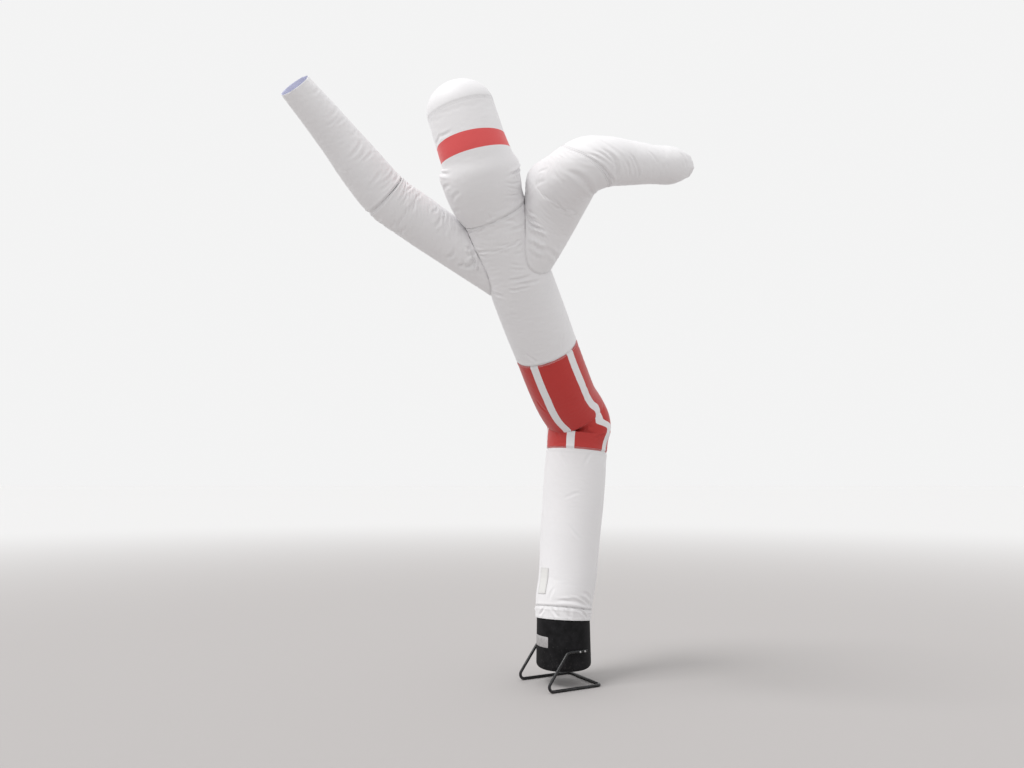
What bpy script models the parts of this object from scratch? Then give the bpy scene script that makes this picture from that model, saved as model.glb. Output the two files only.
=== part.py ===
# An inflatable air dancer: a sewn cloth tube figure with two arms, blown up by a drum
# blower that stands on one bent steel tube. Metres, +Z up. It is drawn with the blower's
# axis as the middle, and then moved so that the origin is under the middle of the whole.
import math

import bpy
import bmesh
from mathutils import Vector

UP = Vector((0.0, 0.0, 1.0))
FRONT = Vector((0.0, -1.0, 0.0))

# Cloth
SHEET = 0.0015
GAP = 0.0003
TRUNK_SIDES = 32
ARM_SIDES = 24

# The trunk and head, one row for each hoop from the hem to the crown seam. The pull draws
# the hoop in at the middle of a fold, and the ear pushes it out beside the fold's ends.
# x, y, z, radius, fold angle from the front, pull, ear
TRUNK = [
    (0.000, 0.000, 0.522, 0.2332, 0, 0.0, 0.0),
    (0.000, 0.000, 0.548, 0.2360, 0, 0.0, 0.0),
    (0.001, 0.001, 0.580, 0.2400, 0, 0.0, 0.0),
    (0.003, 0.002, 0.612, 0.2440, 0, 0.0, 0.0),
    (0.010, 0.006, 0.690, 0.2495, 0, 0.0, 0.0),
    (0.036, 0.015, 0.847, 0.2525, 0, 0.0, 0.0),
    (0.051, 0.023, 1.014, 0.2565, 0, 0.0, 0.0),
    (0.071, 0.036, 1.269, 0.2650, 0, 0.0, 0.0),
    (0.097, 0.049, 1.526, 0.2710, 0, 0.0, 0.0),
    (0.118, 0.062, 1.787, 0.2740, 0, 0.0, 0.0),
    (0.133, 0.070, 1.954, 0.2710, 0, 0.0, 0.0),
    (0.142, 0.074, 2.080, 0.2750, -38, 0.004, 0.022),
    (0.149, 0.070, 2.150, 0.2790, -38, 0.022, 0.034),
    (0.142, 0.046, 2.210, 0.2810, -38, 0.110, 0.026),
    (0.116, 0.006, 2.254, 0.2770, -38, 0.028, 0.006),
    (0.052, -0.086, 2.325, 0.2730, -38, 0.004, 0.000),
    (-0.047, -0.239, 2.548, 0.2730, 0, 0.0, 0.0),
    (-0.150, -0.396, 2.781, 0.2700, 0, 0.0, 0.0),
    (-0.231, -0.520, 2.965, 0.2720, 0, 0.0, 0.0),
    (-0.312, -0.644, 3.150, 0.2700, 0, 0.0, 0.0),
    (-0.404, -0.786, 3.361, 0.2660, 0, 0.0, 0.0),
    (-0.500, -0.932, 3.580, 0.2640, 0, 0.0, 0.0),
    (-0.569, -1.040, 3.738, 0.2600, 0, 0.0, 0.0),
    (-0.626, -1.106, 3.838, 0.2870, 180, 0.010, 0.0),
    (-0.670, -1.184, 3.955, 0.3000, 180, 0.045, 0.004),
    (-0.686, -1.222, 4.018, 0.2940, 180, 0.100, 0.016),
    (-0.700, -1.248, 4.072, 0.2760, 180, 0.045, 0.004),
    (-0.735, -1.284, 4.170, 0.2660, 180, 0.010, 0.0),
    (-0.775, -1.309, 4.290, 0.2630, 0, 0.0, 0.0),
    (-0.818, -1.334, 4.425, 0.2560, 0, 0.0, 0.0),
    (-0.857, -1.355, 4.542, 0.2370, 0, 0.0, 0.0),
]
# The panels between the seams: first and last row of the table above
PANELS = [
    ("lower_body", 3, 10),
    ("striped_body", 10, 17),
    ("upper_body", 17, 22),
    ("head", 22, 30),
]
CUFF_ROWS = (0, 3)
CUFF_SIDES = 72
CUFF_GATHERS = 17
CUFF_GATHER_DEPTH = 0.0055
# How far the hem and the cuff seam hang down on the right, in degrees, by row
DIP = {0: 3.0, 1: 3.5, 2: 4.5, 3: 5.0}
CROWN_RISE = 0.085
CROWN_STEPS = 6
FOLD_SPREAD = 78.0
EAR_PLACE = 92.0
EAR_SPREAD = 34.0

# The arms, one row for each hoop from inside the trunk to the open end
# x, y, z, radius
LEFT_ARM = [
    (-0.380, -0.690, 3.240, 0.182),
    (-0.660, -0.783, 3.411, 0.189),
    (-0.895, -0.870, 3.548, 0.190),
    (-1.158, -1.000, 3.700, 0.194),
    (-1.401, -1.139, 3.848, 0.190),
    (-1.557, -1.260, 4.012, 0.178),
    (-1.699, -1.381, 4.176, 0.156),
    (-1.833, -1.509, 4.321, 0.138),
    (-1.967, -1.637, 4.459, 0.121),
]
LEFT_ELBOW = 4
RIGHT_ARM = [
    (-0.385, -0.800, 3.330, 0.205),
    (-0.288, -0.895, 3.500, 0.224),
    (-0.158, -1.010, 3.715, 0.230),
    (-0.060, -1.182, 3.862, 0.230),
    (0.018, -1.340, 3.934, 0.222),
    (0.125, -1.440, 3.964, 0.205),
    (0.248, -1.457, 3.976, 0.182),
    (0.398, -1.418, 3.985, 0.163),
    (0.575, -1.359, 3.998, 0.144),
    (0.825, -1.262, 4.027, 0.121),
]
RIGHT_ELBOW = 5
# The arms end against the trunk's face, and its armholes lie inside their walls
TRUNK_SOLID_ROWS = (15, 30)
ARM_SEAT_GAP = 0.0004
ARMHOLE_INSET = 0.004

# The sewn patch low on the trunk: angles from the front, heights, and its own sheet
PATCH_ANGLES = (-67.5, -56.25, -45.0)
PATCH_BOTTOM = 0.735
PATCH_TOP = 0.960
PATCH_SHEET = 0.0012
PATCH_LIFT = 0.0004
# The trunk hoops that it lies between
PATCH_ROWS = range(4, 8)

# Blower
DRUM_SIDES = 48
DRUM_BOTTOM = 0.133
DRUM_TOP = 0.598
DRUM_WALL = 0.003
DRUM_RADIUS_LOW = 0.2325
DRUM_RADIUS_HIGH = 0.2255
DRUM_HEM = 0.520
DRUM_ROUND = 0.042
DRUM_ROUND_STEPS = 5
INTAKE_RADIUS = 0.176

GUARD_THICK = 0.004
GUARD_EDGES = (0.046, 0.076, 0.082, 0.112, 0.118, 0.148, 0.154, 0.180, 0.188)
GUARD_SPOKES = 8
GUARD_SPOKE_HALF = math.radians(2.2)
MOTOR_RADIUS = 0.072
MOTOR_HEIGHT = 0.150
MOTOR_ROUND = 0.014
MOTOR_BEVEL = 0.010
MOTOR_SIDES = 24

# Plate on the drum
PLATE_FIRST = -90.0
PLATE_LAST = -37.5
PLATE_BOTTOM = 0.322
PLATE_TOP = 0.408
PLATE_SHEET = 0.0010

# Cable gland at the back of the drum
GLAND_ANGLE = 153.75
GLAND_Z = 0.235
# distance out from the drum, radius
GLAND_PROFILE = [(0.0, 0.0125), (0.004, 0.0125), (0.0045, 0.0105), (0.014, 0.0105),
                 (0.018, 0.0075), (0.026, 0.0062)]
GLAND_SIDES = 12

# Stand: one tube, in its own axes, along its ground arms and across them
STAND_HEADING = math.radians(28.0)
TUBE_RADIUS = 0.0125
TUBE_SIDES = 12
STAND_BACK = -0.322
STAND_FORE = 0.212
STAND_TOP_BEND = -0.108
STAND_TUBE_END = 0.078
STAND_TOP = 0.300
STAND_BEND = 0.038
STAND_BEND_STEPS = 5
BOLT_PLACES = (0.005, 0.052)
WASHER_RADIUS = 0.0085
WASHER_THICK = 0.0016
BOLT_HEAD_RADIUS = 0.0072
BOLT_HEAD_THICK = 0.0055
WASHER_SIDES = 18


def material(name, colour, roughness, metallic=0.0):
    made = bpy.data.materials.new(name)
    made.use_nodes = True
    shader = made.node_tree.nodes["Principled BSDF"]
    shader.inputs["Base Color"].default_value = (*colour, 1.0)
    shader.inputs["Roughness"].default_value = roughness
    shader.inputs["Metallic"].default_value = metallic
    made.diffuse_color = (*colour, 1.0)
    return made


def add_object(name, mesh_edit, finish, smooth_angle=40.0):
    mesh = bpy.data.meshes.new(name)
    bmesh.ops.recalc_face_normals(mesh_edit, faces=mesh_edit.faces)
    mesh_edit.to_mesh(mesh)
    mesh_edit.free()
    mesh.materials.append(finish)
    mesh.shade_smooth()
    mesh.set_sharp_from_angle(angle=math.radians(smooth_angle))
    made = bpy.data.objects.new(name, mesh)
    bpy.context.scene.collection.objects.link(made)
    made.parent = ROOT
    return made


def hide_cutter(cutter):
    cutter.hide_render = True
    cutter.display_type = "WIRE"


def cut(target, cutter):
    step = target.modifiers.new("cut_" + cutter.name, "BOOLEAN")
    step.operation = "DIFFERENCE"
    step.solver = "EXACT"
    step.object = cutter


def window(distance, spread):
    # 1 in the middle of a fold, falling softly to 0 at its spread
    if abs(distance) >= spread:
        return 0.0
    return math.cos(0.5 * math.pi * distance / spread) ** 2


def hoop_radius(row, angle):
    # The radius of a trunk hoop at an angle in degrees from the front
    radius, fold_at, pull, ear = row[3], row[4], row[5], row[6]
    distance = (angle - fold_at + 180.0) % 360.0 - 180.0
    radius -= pull * window(distance, FOLD_SPREAD)
    return radius + ear * window(abs(distance) - EAR_PLACE, EAR_SPREAD)


def cuff_radius(row, angle):
    # Uneven gathers, deepest at the hem, that touch the drum in their troughs
    share = (TRUNK[3][2] - row[2]) / (TRUNK[3][2] - TRUNK[0][2])
    turn = math.radians(angle)
    wave = math.cos(CUFF_GATHERS * turn + 1.3 * math.sin(3.0 * turn))
    return row[3] + CUFF_GATHER_DEPTH * share * wave


def directions(rows):
    # The direction of the centre line at each row, from the rows on both sides of it
    centres = [Vector(row[:3]) for row in rows]
    found = []
    for index in range(len(centres)):
        before = centres[max(index - 1, 0)]
        after = centres[min(index + 1, len(centres) - 1)]
        found.append((after - before).normalized())
    return found


TRUNK_DIRECTIONS = directions(TRUNK)
# The hem and the cuff seam are nearly level, whatever the centre line does there
for dipped, degrees in DIP.items():
    dip = math.radians(degrees)
    TRUNK_DIRECTIONS[dipped] = Vector((math.sin(dip), 0.0, math.cos(dip)))


def hoop(centre, along, reference, sides, radius_at, shift=0.0):
    # A flat ring of points round a centre, turned so that angle 0 faces the reference
    front = (reference - reference.dot(along) * along).normalized()
    side = along.cross(front)
    middle = centre + along * shift
    points = []
    for step in range(sides):
        angle = 360.0 * step / sides
        turn = math.radians(angle)
        spoke = front * math.cos(turn) + side * math.sin(turn)
        points.append(middle + spoke * radius_at(angle))
    return points


def trunk_hoop(index, radius_change, shift=0.0, sides=TRUNK_SIDES, shape=hoop_radius):
    row = TRUNK[index]
    return hoop(Vector(row[:3]), TRUNK_DIRECTIONS[index], FRONT, sides,
                lambda angle: shape(row, angle) + radius_change, shift)


def arm_hoop(rows, index, radius_change, shift=0.0):
    row = rows[index]
    return hoop(Vector(row[:3]), directions(rows)[index], UP, ARM_SIDES,
                lambda angle: row[3] + radius_change, shift)


def bridge(mesh_edit, ring_a, ring_b):
    count = len(ring_a)
    for step in range(count):
        after = (step + 1) % count
        mesh_edit.faces.new((ring_a[step], ring_a[after], ring_b[after], ring_b[step]))


def tube_shell(name, outer, inner, finish):
    # An open tube of cloth from matching lists of outer and inner rings
    edit = bmesh.new()
    outer_rings = [[edit.verts.new(point) for point in ring] for ring in outer]
    inner_rings = [[edit.verts.new(point) for point in ring] for ring in inner]
    for rings in (outer_rings, inner_rings):
        for low, high in zip(rings, rings[1:]):
            bridge(edit, low, high)
    bridge(edit, outer_rings[0], inner_rings[0])
    bridge(edit, outer_rings[-1], inner_rings[-1])
    return add_object(name, edit, finish)


def tube_solid(name, rings, finish):
    # The same form filled, with flat ends
    edit = bmesh.new()
    made = [[edit.verts.new(point) for point in ring] for ring in rings]
    for low, high in zip(made, made[1:]):
        bridge(edit, low, high)
    edit.faces.new(made[0])
    edit.faces.new(made[-1])
    return add_object(name, edit, finish)


def seam_shift(index, first, last):
    # Panels keep half the gap on their own side of each seam
    if index == first:
        return GAP / 2
    if index == last:
        return -GAP / 2
    return 0.0


def trunk_panel(name, first, last, finish, sides=TRUNK_SIDES, shape=hoop_radius):
    rows = range(first, last + 1)
    outer = [trunk_hoop(i, 0.0, seam_shift(i, first, last), sides, shape) for i in rows]
    inner = [trunk_hoop(i, -SHEET, seam_shift(i, first, last), sides, shape) for i in rows]
    return tube_shell(name, outer, inner, finish)


def arm_panel(name, rows, first, last, finish):
    span = range(first, last + 1)
    outer = [arm_hoop(rows, i, 0.0, seam_shift(i, first, last)) for i in span]
    inner = [arm_hoop(rows, i, -SHEET, seam_shift(i, first, last)) for i in span]
    return tube_shell(name, outer, inner, finish)


def crown_cap(finish):
    # The round top panel, domed by the air, closed at its middle
    last = len(TRUNK) - 1
    row = TRUNK[last]
    along = TRUNK_DIRECTIONS[last]
    centre = Vector(row[:3]) + along * (GAP / 2)
    edit = bmesh.new()
    rims = []
    for inset in (0.0, SHEET):
        rings = []
        for step in range(CROWN_STEPS):
            rise = 0.5 * math.pi * step / CROWN_STEPS
            wide = (row[3] - inset) * math.cos(rise)
            high = (CROWN_RISE - inset) * math.sin(rise)
            ring = hoop(centre + along * high, along, FRONT, TRUNK_SIDES,
                        lambda angle, wide=wide: wide)
            rings.append([edit.verts.new(point) for point in ring])
        for low, top in zip(rings, rings[1:]):
            bridge(edit, low, top)
        peak = edit.verts.new(centre + along * (CROWN_RISE - inset))
        for step in range(TRUNK_SIDES):
            after = (step + 1) % TRUNK_SIDES
            edit.faces.new((rings[-1][step], rings[-1][after], peak))
        rims.append(rings[0])
    bridge(edit, rims[0], rims[1])
    return add_object("crown", edit, finish)


def patch_on_body(finish):
    # A blank patch sewn flat on the lower body, on the same facets as the cloth below it
    heights = (PATCH_BOTTOM, 0.5 * (PATCH_BOTTOM + PATCH_TOP), PATCH_TOP)
    edit = bmesh.new()
    sheets = []
    for lift in (PATCH_LIFT, PATCH_LIFT + PATCH_SHEET):
        grid = []
        for height in heights:
            line = []
            for angle in PATCH_ANGLES:
                line.append(edit.verts.new(facet_point(PATCH_ROWS, angle, height, lift)))
            grid.append(line)
        sheets.append(grid)
    low, high = sheets
    tall = len(heights)
    wide = len(PATCH_ANGLES)
    for grid in sheets:
        for i in range(tall - 1):
            for j in range(wide - 1):
                edit.faces.new((grid[i][j], grid[i][j + 1], grid[i + 1][j + 1], grid[i + 1][j]))
    for j in range(wide - 1):
        for i in (0, tall - 1):
            edit.faces.new((low[i][j], low[i][j + 1], high[i][j + 1], high[i][j]))
    for i in range(tall - 1):
        for j in (0, wide - 1):
            edit.faces.new((low[i][j], low[i + 1][j], high[i + 1][j], high[i][j]))
    return add_object("body_patch", edit, finish)


def facet_point(rows, angle, height, lift):
    # A point on the edge line between hoops at one of their corners, at a height
    corner = round(angle * TRUNK_SIDES / 360.0) % TRUNK_SIDES
    line = [trunk_hoop(index, lift)[corner] for index in rows]
    for low, high in zip(line, line[1:]):
        if low.z <= height <= high.z:
            return low.lerp(high, (height - low.z) / (high.z - low.z))
    raise ValueError("the patch reaches past its rows")


def turned(name, profile, sides, finish, centre=Vector(), axis=UP, closed=True):
    # A profile of (distance along, radius) pairs turned round an axis
    reference = FRONT if axis == UP else UP
    front = (reference - reference.dot(axis) * axis).normalized()
    side = axis.cross(front)
    edit = bmesh.new()
    rings = []
    for along, radius in profile:
        ring = []
        for step in range(sides):
            turn = 2.0 * math.pi * step / sides
            spoke = front * math.cos(turn) + side * math.sin(turn)
            ring.append(edit.verts.new(centre + axis * along + spoke * radius))
        rings.append(ring)
    for low, high in zip(rings, rings[1:]):
        bridge(edit, low, high)
    if closed:
        edit.faces.new(rings[0])
        edit.faces.new(rings[-1])
    else:
        bridge(edit, rings[-1], rings[0])
    return add_object(name, edit, finish)


def drum_radius(height):
    # The drum's side tapers a little from its rounded foot to the hem, and is plumb above
    foot = DRUM_BOTTOM + DRUM_ROUND
    share = min(max((height - foot) / (DRUM_HEM - foot), 0.0), 1.0)
    return DRUM_RADIUS_LOW + (DRUM_RADIUS_HIGH - DRUM_RADIUS_LOW) * share


def blower_drum(finish):
    # A rolled steel duct with its foot turned in round the intake
    middle = DRUM_RADIUS_LOW - DRUM_ROUND
    foot = DRUM_BOTTOM + DRUM_ROUND
    outer = [(DRUM_BOTTOM, INTAKE_RADIUS)]
    inner = [(DRUM_BOTTOM + DRUM_WALL, INTAKE_RADIUS)]
    for step in range(DRUM_ROUND_STEPS + 1):
        turn = 0.5 * math.pi * step / DRUM_ROUND_STEPS
        outer.append((foot - DRUM_ROUND * math.cos(turn), middle + DRUM_ROUND * math.sin(turn)))
        bend = DRUM_ROUND - DRUM_WALL
        inner.append((foot - bend * math.cos(turn), middle + bend * math.sin(turn)))
    outer += [(DRUM_HEM, DRUM_RADIUS_HIGH), (DRUM_TOP, DRUM_RADIUS_HIGH)]
    inner += [(DRUM_HEM, DRUM_RADIUS_HIGH - DRUM_WALL), (DRUM_TOP, DRUM_RADIUS_HIGH - DRUM_WALL)]
    return turned("blower_drum", outer + inner[::-1], DRUM_SIDES, finish, closed=False)


def intake_guard(finish):
    # A pressed grille of rings and spokes round a centre plate, lying on the turned-in foot
    turns = []
    for spoke in range(GUARD_SPOKES):
        start = 2.0 * math.pi * spoke / GUARD_SPOKES
        pitch = 2.0 * math.pi / GUARD_SPOKES
        turns += [start - GUARD_SPOKE_HALF, start + GUARD_SPOKE_HALF,
                  start + pitch / 3.0, start + 2.0 * pitch / 3.0]
    count = len(turns)
    bottom = DRUM_BOTTOM + DRUM_WALL + GAP
    edit = bmesh.new()
    layers = []
    for z in (bottom, bottom + GUARD_THICK):
        layers.append([[edit.verts.new((r * math.cos(t), r * math.sin(t), z)) for t in turns]
                       for r in GUARD_EDGES])

    def is_metal(band, step):
        # Even bands are gaps, and only the spokes cross them
        if band < 0 or band >= len(GUARD_EDGES) - 1:
            return False
        return band % 2 == 1 or step % 4 == 0

    for band in range(len(GUARD_EDGES) - 1):
        for step in range(count):
            after = (step + 1) % count
            if not is_metal(band, step):
                continue
            for layer in layers:
                edit.faces.new((layer[band][step], layer[band][after],
                                layer[band + 1][after], layer[band + 1][step]))
            if not is_metal(band, after):
                edit.faces.new((layers[0][band][after], layers[0][band + 1][after],
                                layers[1][band + 1][after], layers[1][band][after]))
            if not is_metal(band, (step - 1) % count):
                edit.faces.new((layers[0][band][step], layers[0][band + 1][step],
                                layers[1][band + 1][step], layers[1][band][step]))
            if not is_metal(band + 1, step):
                edit.faces.new((layers[0][band + 1][step], layers[0][band + 1][after],
                                layers[1][band + 1][after], layers[1][band + 1][step]))
            if band > 0 and not is_metal(band - 1, step):
                edit.faces.new((layers[0][band][step], layers[0][band][after],
                                layers[1][band][after], layers[1][band][step]))
    # The centre plate joins the spokes' roots, and gets side walls between them
    for layer in layers:
        edit.faces.new(layer[0])
    for step in range(count):
        if not is_metal(0, step):
            after = (step + 1) % count
            edit.faces.new((layers[0][0][step], layers[0][0][after],
                            layers[1][0][after], layers[1][0][step]))
    return add_object("intake_guard", edit, finish)


def motor_pod(finish):
    # A closed motor case on the guard's centre plate
    bottom = DRUM_BOTTOM + DRUM_WALL + GUARD_THICK + 2 * GAP
    top = bottom + MOTOR_HEIGHT
    small = MOTOR_RADIUS - MOTOR_ROUND
    profile = [(bottom, small), (bottom + MOTOR_ROUND - MOTOR_BEVEL, small + MOTOR_BEVEL),
               (bottom + MOTOR_ROUND, MOTOR_RADIUS), (top - MOTOR_ROUND, MOTOR_RADIUS),
               (top - MOTOR_ROUND + MOTOR_BEVEL, small + MOTOR_BEVEL), (top, small)]
    return turned("motor_pod", profile, MOTOR_SIDES, finish)


def blank_plate(finish):
    # A thin plate with no text, bent round the drum on the drum's own facets
    pitch = 360.0 / DRUM_SIDES
    count = int(round((PLATE_LAST - PLATE_FIRST) / pitch))
    edit = bmesh.new()
    sheets = []
    for lift in (GAP, GAP + PLATE_SHEET):
        lines = []
        for z in (PLATE_BOTTOM, PLATE_TOP):
            line = []
            for step in range(count + 1):
                turn = math.radians(PLATE_FIRST + pitch * step)
                radius = drum_radius(z) + lift
                line.append(edit.verts.new((radius * math.sin(turn), -radius * math.cos(turn), z)))
            lines.append(line)
        sheets.append(lines)
    near, far = sheets
    for step in range(count):
        for low, high in (near, far):
            edit.faces.new((low[step], low[step + 1], high[step + 1], high[step]))
        for edge in (0, 1):
            edit.faces.new((near[edge][step], near[edge][step + 1],
                            far[edge][step + 1], far[edge][step]))
    for end in (0, count):
        edit.faces.new((near[0][end], near[1][end], far[1][end], far[0][end]))
    return add_object("blank_plate", edit, finish)


def cable_gland(finish):
    # The inlet for the power lead, on a flat of the drum's back
    turn = math.radians(GLAND_ANGLE)
    outward = Vector((math.sin(turn), -math.cos(turn), 0.0))
    flat = math.cos(math.pi / DRUM_SIDES)
    widest = drum_radius(GLAND_Z - GLAND_PROFILE[0][1])
    seat = outward * (widest * flat + GAP) + UP * GLAND_Z
    return turned("cable_gland", GLAND_PROFILE, GLAND_SIDES, finish, seat, outward)


STAND_ALONG = Vector((math.cos(STAND_HEADING), math.sin(STAND_HEADING), 0.0))
STAND_ACROSS = Vector((math.sin(STAND_HEADING), -math.cos(STAND_HEADING), 0.0))
STAND_HALF_WIDTH = drum_radius(STAND_TOP) + GAP + TUBE_RADIUS


def stand_point(along, across, height):
    return STAND_ALONG * along + STAND_ACROSS * across + UP * height


def rounded_path(corners, radius, steps):
    # A path with each inner corner replaced by an arc
    path = [corners[0]]
    for before, corner, after in zip(corners, corners[1:], corners[2:]):
        back = (before - corner).normalized()
        ahead = (after - corner).normalized()
        half = 0.5 * back.angle(ahead)
        reach = radius / math.tan(half)
        middle = corner + (back + ahead).normalized() * (radius / math.sin(half))
        start = corner + back * reach - middle
        end = corner + ahead * reach - middle
        sweep = start.angle(end)
        for step in range(steps + 1):
            share = step / steps
            path.append(middle + (start * math.sin((1.0 - share) * sweep)
                                  + end * math.sin(share * sweep)) / math.sin(sweep))
    path.append(corners[-1])
    return path


def stand_tube(finish):
    # Bent from one length: bolted run, leg, ground arm, cross bar, and the same again
    ends = []
    for across in (STAND_HALF_WIDTH, -STAND_HALF_WIDTH):
        ends.append([stand_point(STAND_TUBE_END, across, STAND_TOP),
                     stand_point(STAND_TOP_BEND, across, STAND_TOP),
                     stand_point(STAND_BACK, across, TUBE_RADIUS),
                     stand_point(STAND_FORE, across, TUBE_RADIUS)])
    path = rounded_path(ends[0] + ends[1][::-1], STAND_BEND, STAND_BEND_STEPS)
    corner_radius = TUBE_RADIUS / math.cos(math.pi / TUBE_SIDES)
    rings = []
    for index, point in enumerate(path):
        before = path[max(index - 1, 0)]
        after = path[min(index + 1, len(path) - 1)]
        tangent = (after - before).normalized()
        side = tangent.cross(UP).normalized()
        lift = side.cross(tangent)
        ring = []
        for step in range(TUBE_SIDES):
            # Half a step round, so that a flat facet lies on the floor
            turn = 2.0 * math.pi * (step + 0.5) / TUBE_SIDES
            ring.append(point + (side * math.cos(turn) + lift * math.sin(turn)) * corner_radius)
        rings.append(ring)
    return tube_solid("stand_tube", rings, finish)


def stand_bolt(name, along, side, finish):
    # A washer and hexagon head on the outer flat of the tube's bolted run
    outward = STAND_ACROSS * side
    seat = stand_point(along, side * (STAND_HALF_WIDTH + TUBE_RADIUS + GAP), STAND_TOP)
    washer = turned(name, [(0.0, WASHER_RADIUS), (WASHER_THICK, WASHER_RADIUS)],
                    WASHER_SIDES, finish, seat, outward)
    head = turned(name + "_head", [(WASHER_THICK / 2, BOLT_HEAD_RADIUS),
                                   (WASHER_THICK + BOLT_HEAD_THICK, BOLT_HEAD_RADIUS)],
                  6, finish, seat, outward)
    hide_cutter(head)
    join = washer.modifiers.new("head", "BOOLEAN")
    join.operation = "UNION"
    join.solver = "EXACT"
    join.object = head
    return washer


def arms_and_armholes(body, finish):
    first, last = TRUNK_SOLID_ROWS
    trunk_form = tube_solid("trunk_form", [trunk_hoop(i, ARM_SEAT_GAP)
                                           for i in range(first, last + 1)], finish)
    hide_cutter(trunk_form)
    for side, rows, elbow in (("left", LEFT_ARM, LEFT_ELBOW), ("right", RIGHT_ARM, RIGHT_ELBOW)):
        upper = arm_panel("arm_%s_upper" % side, rows, 0, elbow, finish)
        cut(upper, trunk_form)
        arm_panel("arm_%s_fore" % side, rows, elbow, len(rows) - 1, finish)
        bore = tube_solid("armhole_%s" % side,
                          [arm_hoop(rows, i, -SHEET - ARMHOLE_INSET) for i in range(elbow)], finish)
        hide_cutter(bore)
        cut(body, bore)


def move_origin_under_middle():
    # The origin goes on the floor under the middle of the whole object
    bpy.context.view_layer.update()
    seen = bpy.context.evaluated_depsgraph_get()
    low = Vector((math.inf, math.inf, math.inf))
    high = -low
    for item in bpy.context.scene.objects:
        if item.type != "MESH" or item.hide_render:
            continue
        shape = item.evaluated_get(seen)
        for vertex in shape.data.vertices:
            place = shape.matrix_world @ vertex.co
            low = Vector(map(min, low, place))
            high = Vector(map(max, high, place))
    ROOT.location = (-(low.x + high.x) / 2, -(low.y + high.y) / 2, -low.z)


for old in list(bpy.data.objects):
    bpy.data.objects.remove(old, do_unlink=True)
ROOT = bpy.data.objects.new("air_dancer", None)
bpy.context.scene.collection.objects.link(ROOT)

WHITE_CLOTH = material("white_cloth", (0.83, 0.82, 0.83), 0.55)
STRIPED_CLOTH = material("striped_cloth", (0.62, 0.06, 0.05), 0.55)
PATCH_CLOTH = material("patch_cloth", (0.80, 0.79, 0.75), 0.45)
BLACK_SHELL = material("black_shell", (0.022, 0.022, 0.024), 0.55)
BLACK_TUBE = material("black_tube", (0.018, 0.018, 0.020), 0.25)
BRIGHT_STEEL = material("bright_steel", (0.62, 0.62, 0.63), 0.3, 1.0)
PLATE_GREY = material("plate_grey", (0.62, 0.63, 0.65), 0.4)
BLACK_PLASTIC = material("black_plastic", (0.03, 0.03, 0.03), 0.5)

blower_drum(BLACK_SHELL)
intake_guard(BLACK_TUBE)
motor_pod(BLACK_SHELL)
blank_plate(PLATE_GREY)
cable_gland(BLACK_PLASTIC)
stand_tube(BLACK_TUBE)
for bolt, (place, side) in enumerate((p, s) for s in (1.0, -1.0) for p in BOLT_PLACES):
    stand_bolt("stand_bolt_%d" % (bolt + 1), place, side, BRIGHT_STEEL)
trunk_panel("sleeve_cuff", *CUFF_ROWS, WHITE_CLOTH, CUFF_SIDES, cuff_radius)
CLOTH = {"striped_body": STRIPED_CLOTH}
made_panels = {}
for panel, first_row, last_row in PANELS:
    made_panels[panel] = trunk_panel(panel, first_row, last_row, CLOTH.get(panel, WHITE_CLOTH))
arms_and_armholes(made_panels["upper_body"], WHITE_CLOTH)
crown_cap(WHITE_CLOTH)
patch_on_body(PATCH_CLOTH)
move_origin_under_middle()
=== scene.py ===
# The looks of an inflatable air dancer: a sewn cloth tube figure that a drum blower holds
# up, on a stand bent from one steel tube. Metres, +Z up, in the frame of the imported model.
import math

import bmesh
import bpy
import numpy as np
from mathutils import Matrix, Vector


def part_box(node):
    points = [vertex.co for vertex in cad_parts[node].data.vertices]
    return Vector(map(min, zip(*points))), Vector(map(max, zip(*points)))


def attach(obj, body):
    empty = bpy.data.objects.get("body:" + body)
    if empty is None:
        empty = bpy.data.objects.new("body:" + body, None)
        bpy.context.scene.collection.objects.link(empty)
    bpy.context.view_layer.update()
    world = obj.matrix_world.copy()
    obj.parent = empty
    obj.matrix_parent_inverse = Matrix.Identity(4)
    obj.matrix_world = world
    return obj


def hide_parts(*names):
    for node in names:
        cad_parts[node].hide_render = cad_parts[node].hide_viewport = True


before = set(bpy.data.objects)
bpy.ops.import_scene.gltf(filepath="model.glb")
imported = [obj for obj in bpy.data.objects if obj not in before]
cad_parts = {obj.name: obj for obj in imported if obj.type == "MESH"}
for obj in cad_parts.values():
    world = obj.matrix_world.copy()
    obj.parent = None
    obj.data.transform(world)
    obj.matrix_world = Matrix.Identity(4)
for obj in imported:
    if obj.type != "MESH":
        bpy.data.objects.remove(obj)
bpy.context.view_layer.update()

DRUM_LOW, DRUM_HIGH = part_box("blower_drum")
# The blower's axis is the middle from which the figure is drawn
AXIS = np.array([(DRUM_LOW[0] + DRUM_HIGH[0]) / 2, (DRUM_LOW[1] + DRUM_HIGH[1]) / 2, 0.0])

# Studio: camera, floor and soft lights
# The camera stands low and about seven metres off, and looks up a little, as in the photo.
# An even pale sky fills the shade, and one broad soft sun from above and the left models it.
CAMERA_FROM_AXIS = (-0.437, -6.820, 1.705)
CAMERA_TILT_UP = math.radians(7.0)
CAMERA_LENS = 27.32
FLOOR_SIZE = 400.0
# The floor is a warm grey near the figure and painted paler far off. This painted light brings it up to the
# sky's brightness where they meet
FLOOR_NEAR = (0.42, 0.402, 0.396, 1.0)
FLOOR_FAR_PAINTED_LIGHT = (0.655, 0.652, 0.65, 1.0)
FLOOR_PAINTED_LIGHT_FADE = (4.5, 26.0)
SKY_COLOUR = (1.0, 1.0, 1.0, 1.0)
SKY_STRENGTH = 0.90
SUN_FROM = (-0.50, -0.35, 0.79)
SUN_STRENGTH = 1.80
SUN_WIDTH = math.radians(24.0)


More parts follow.
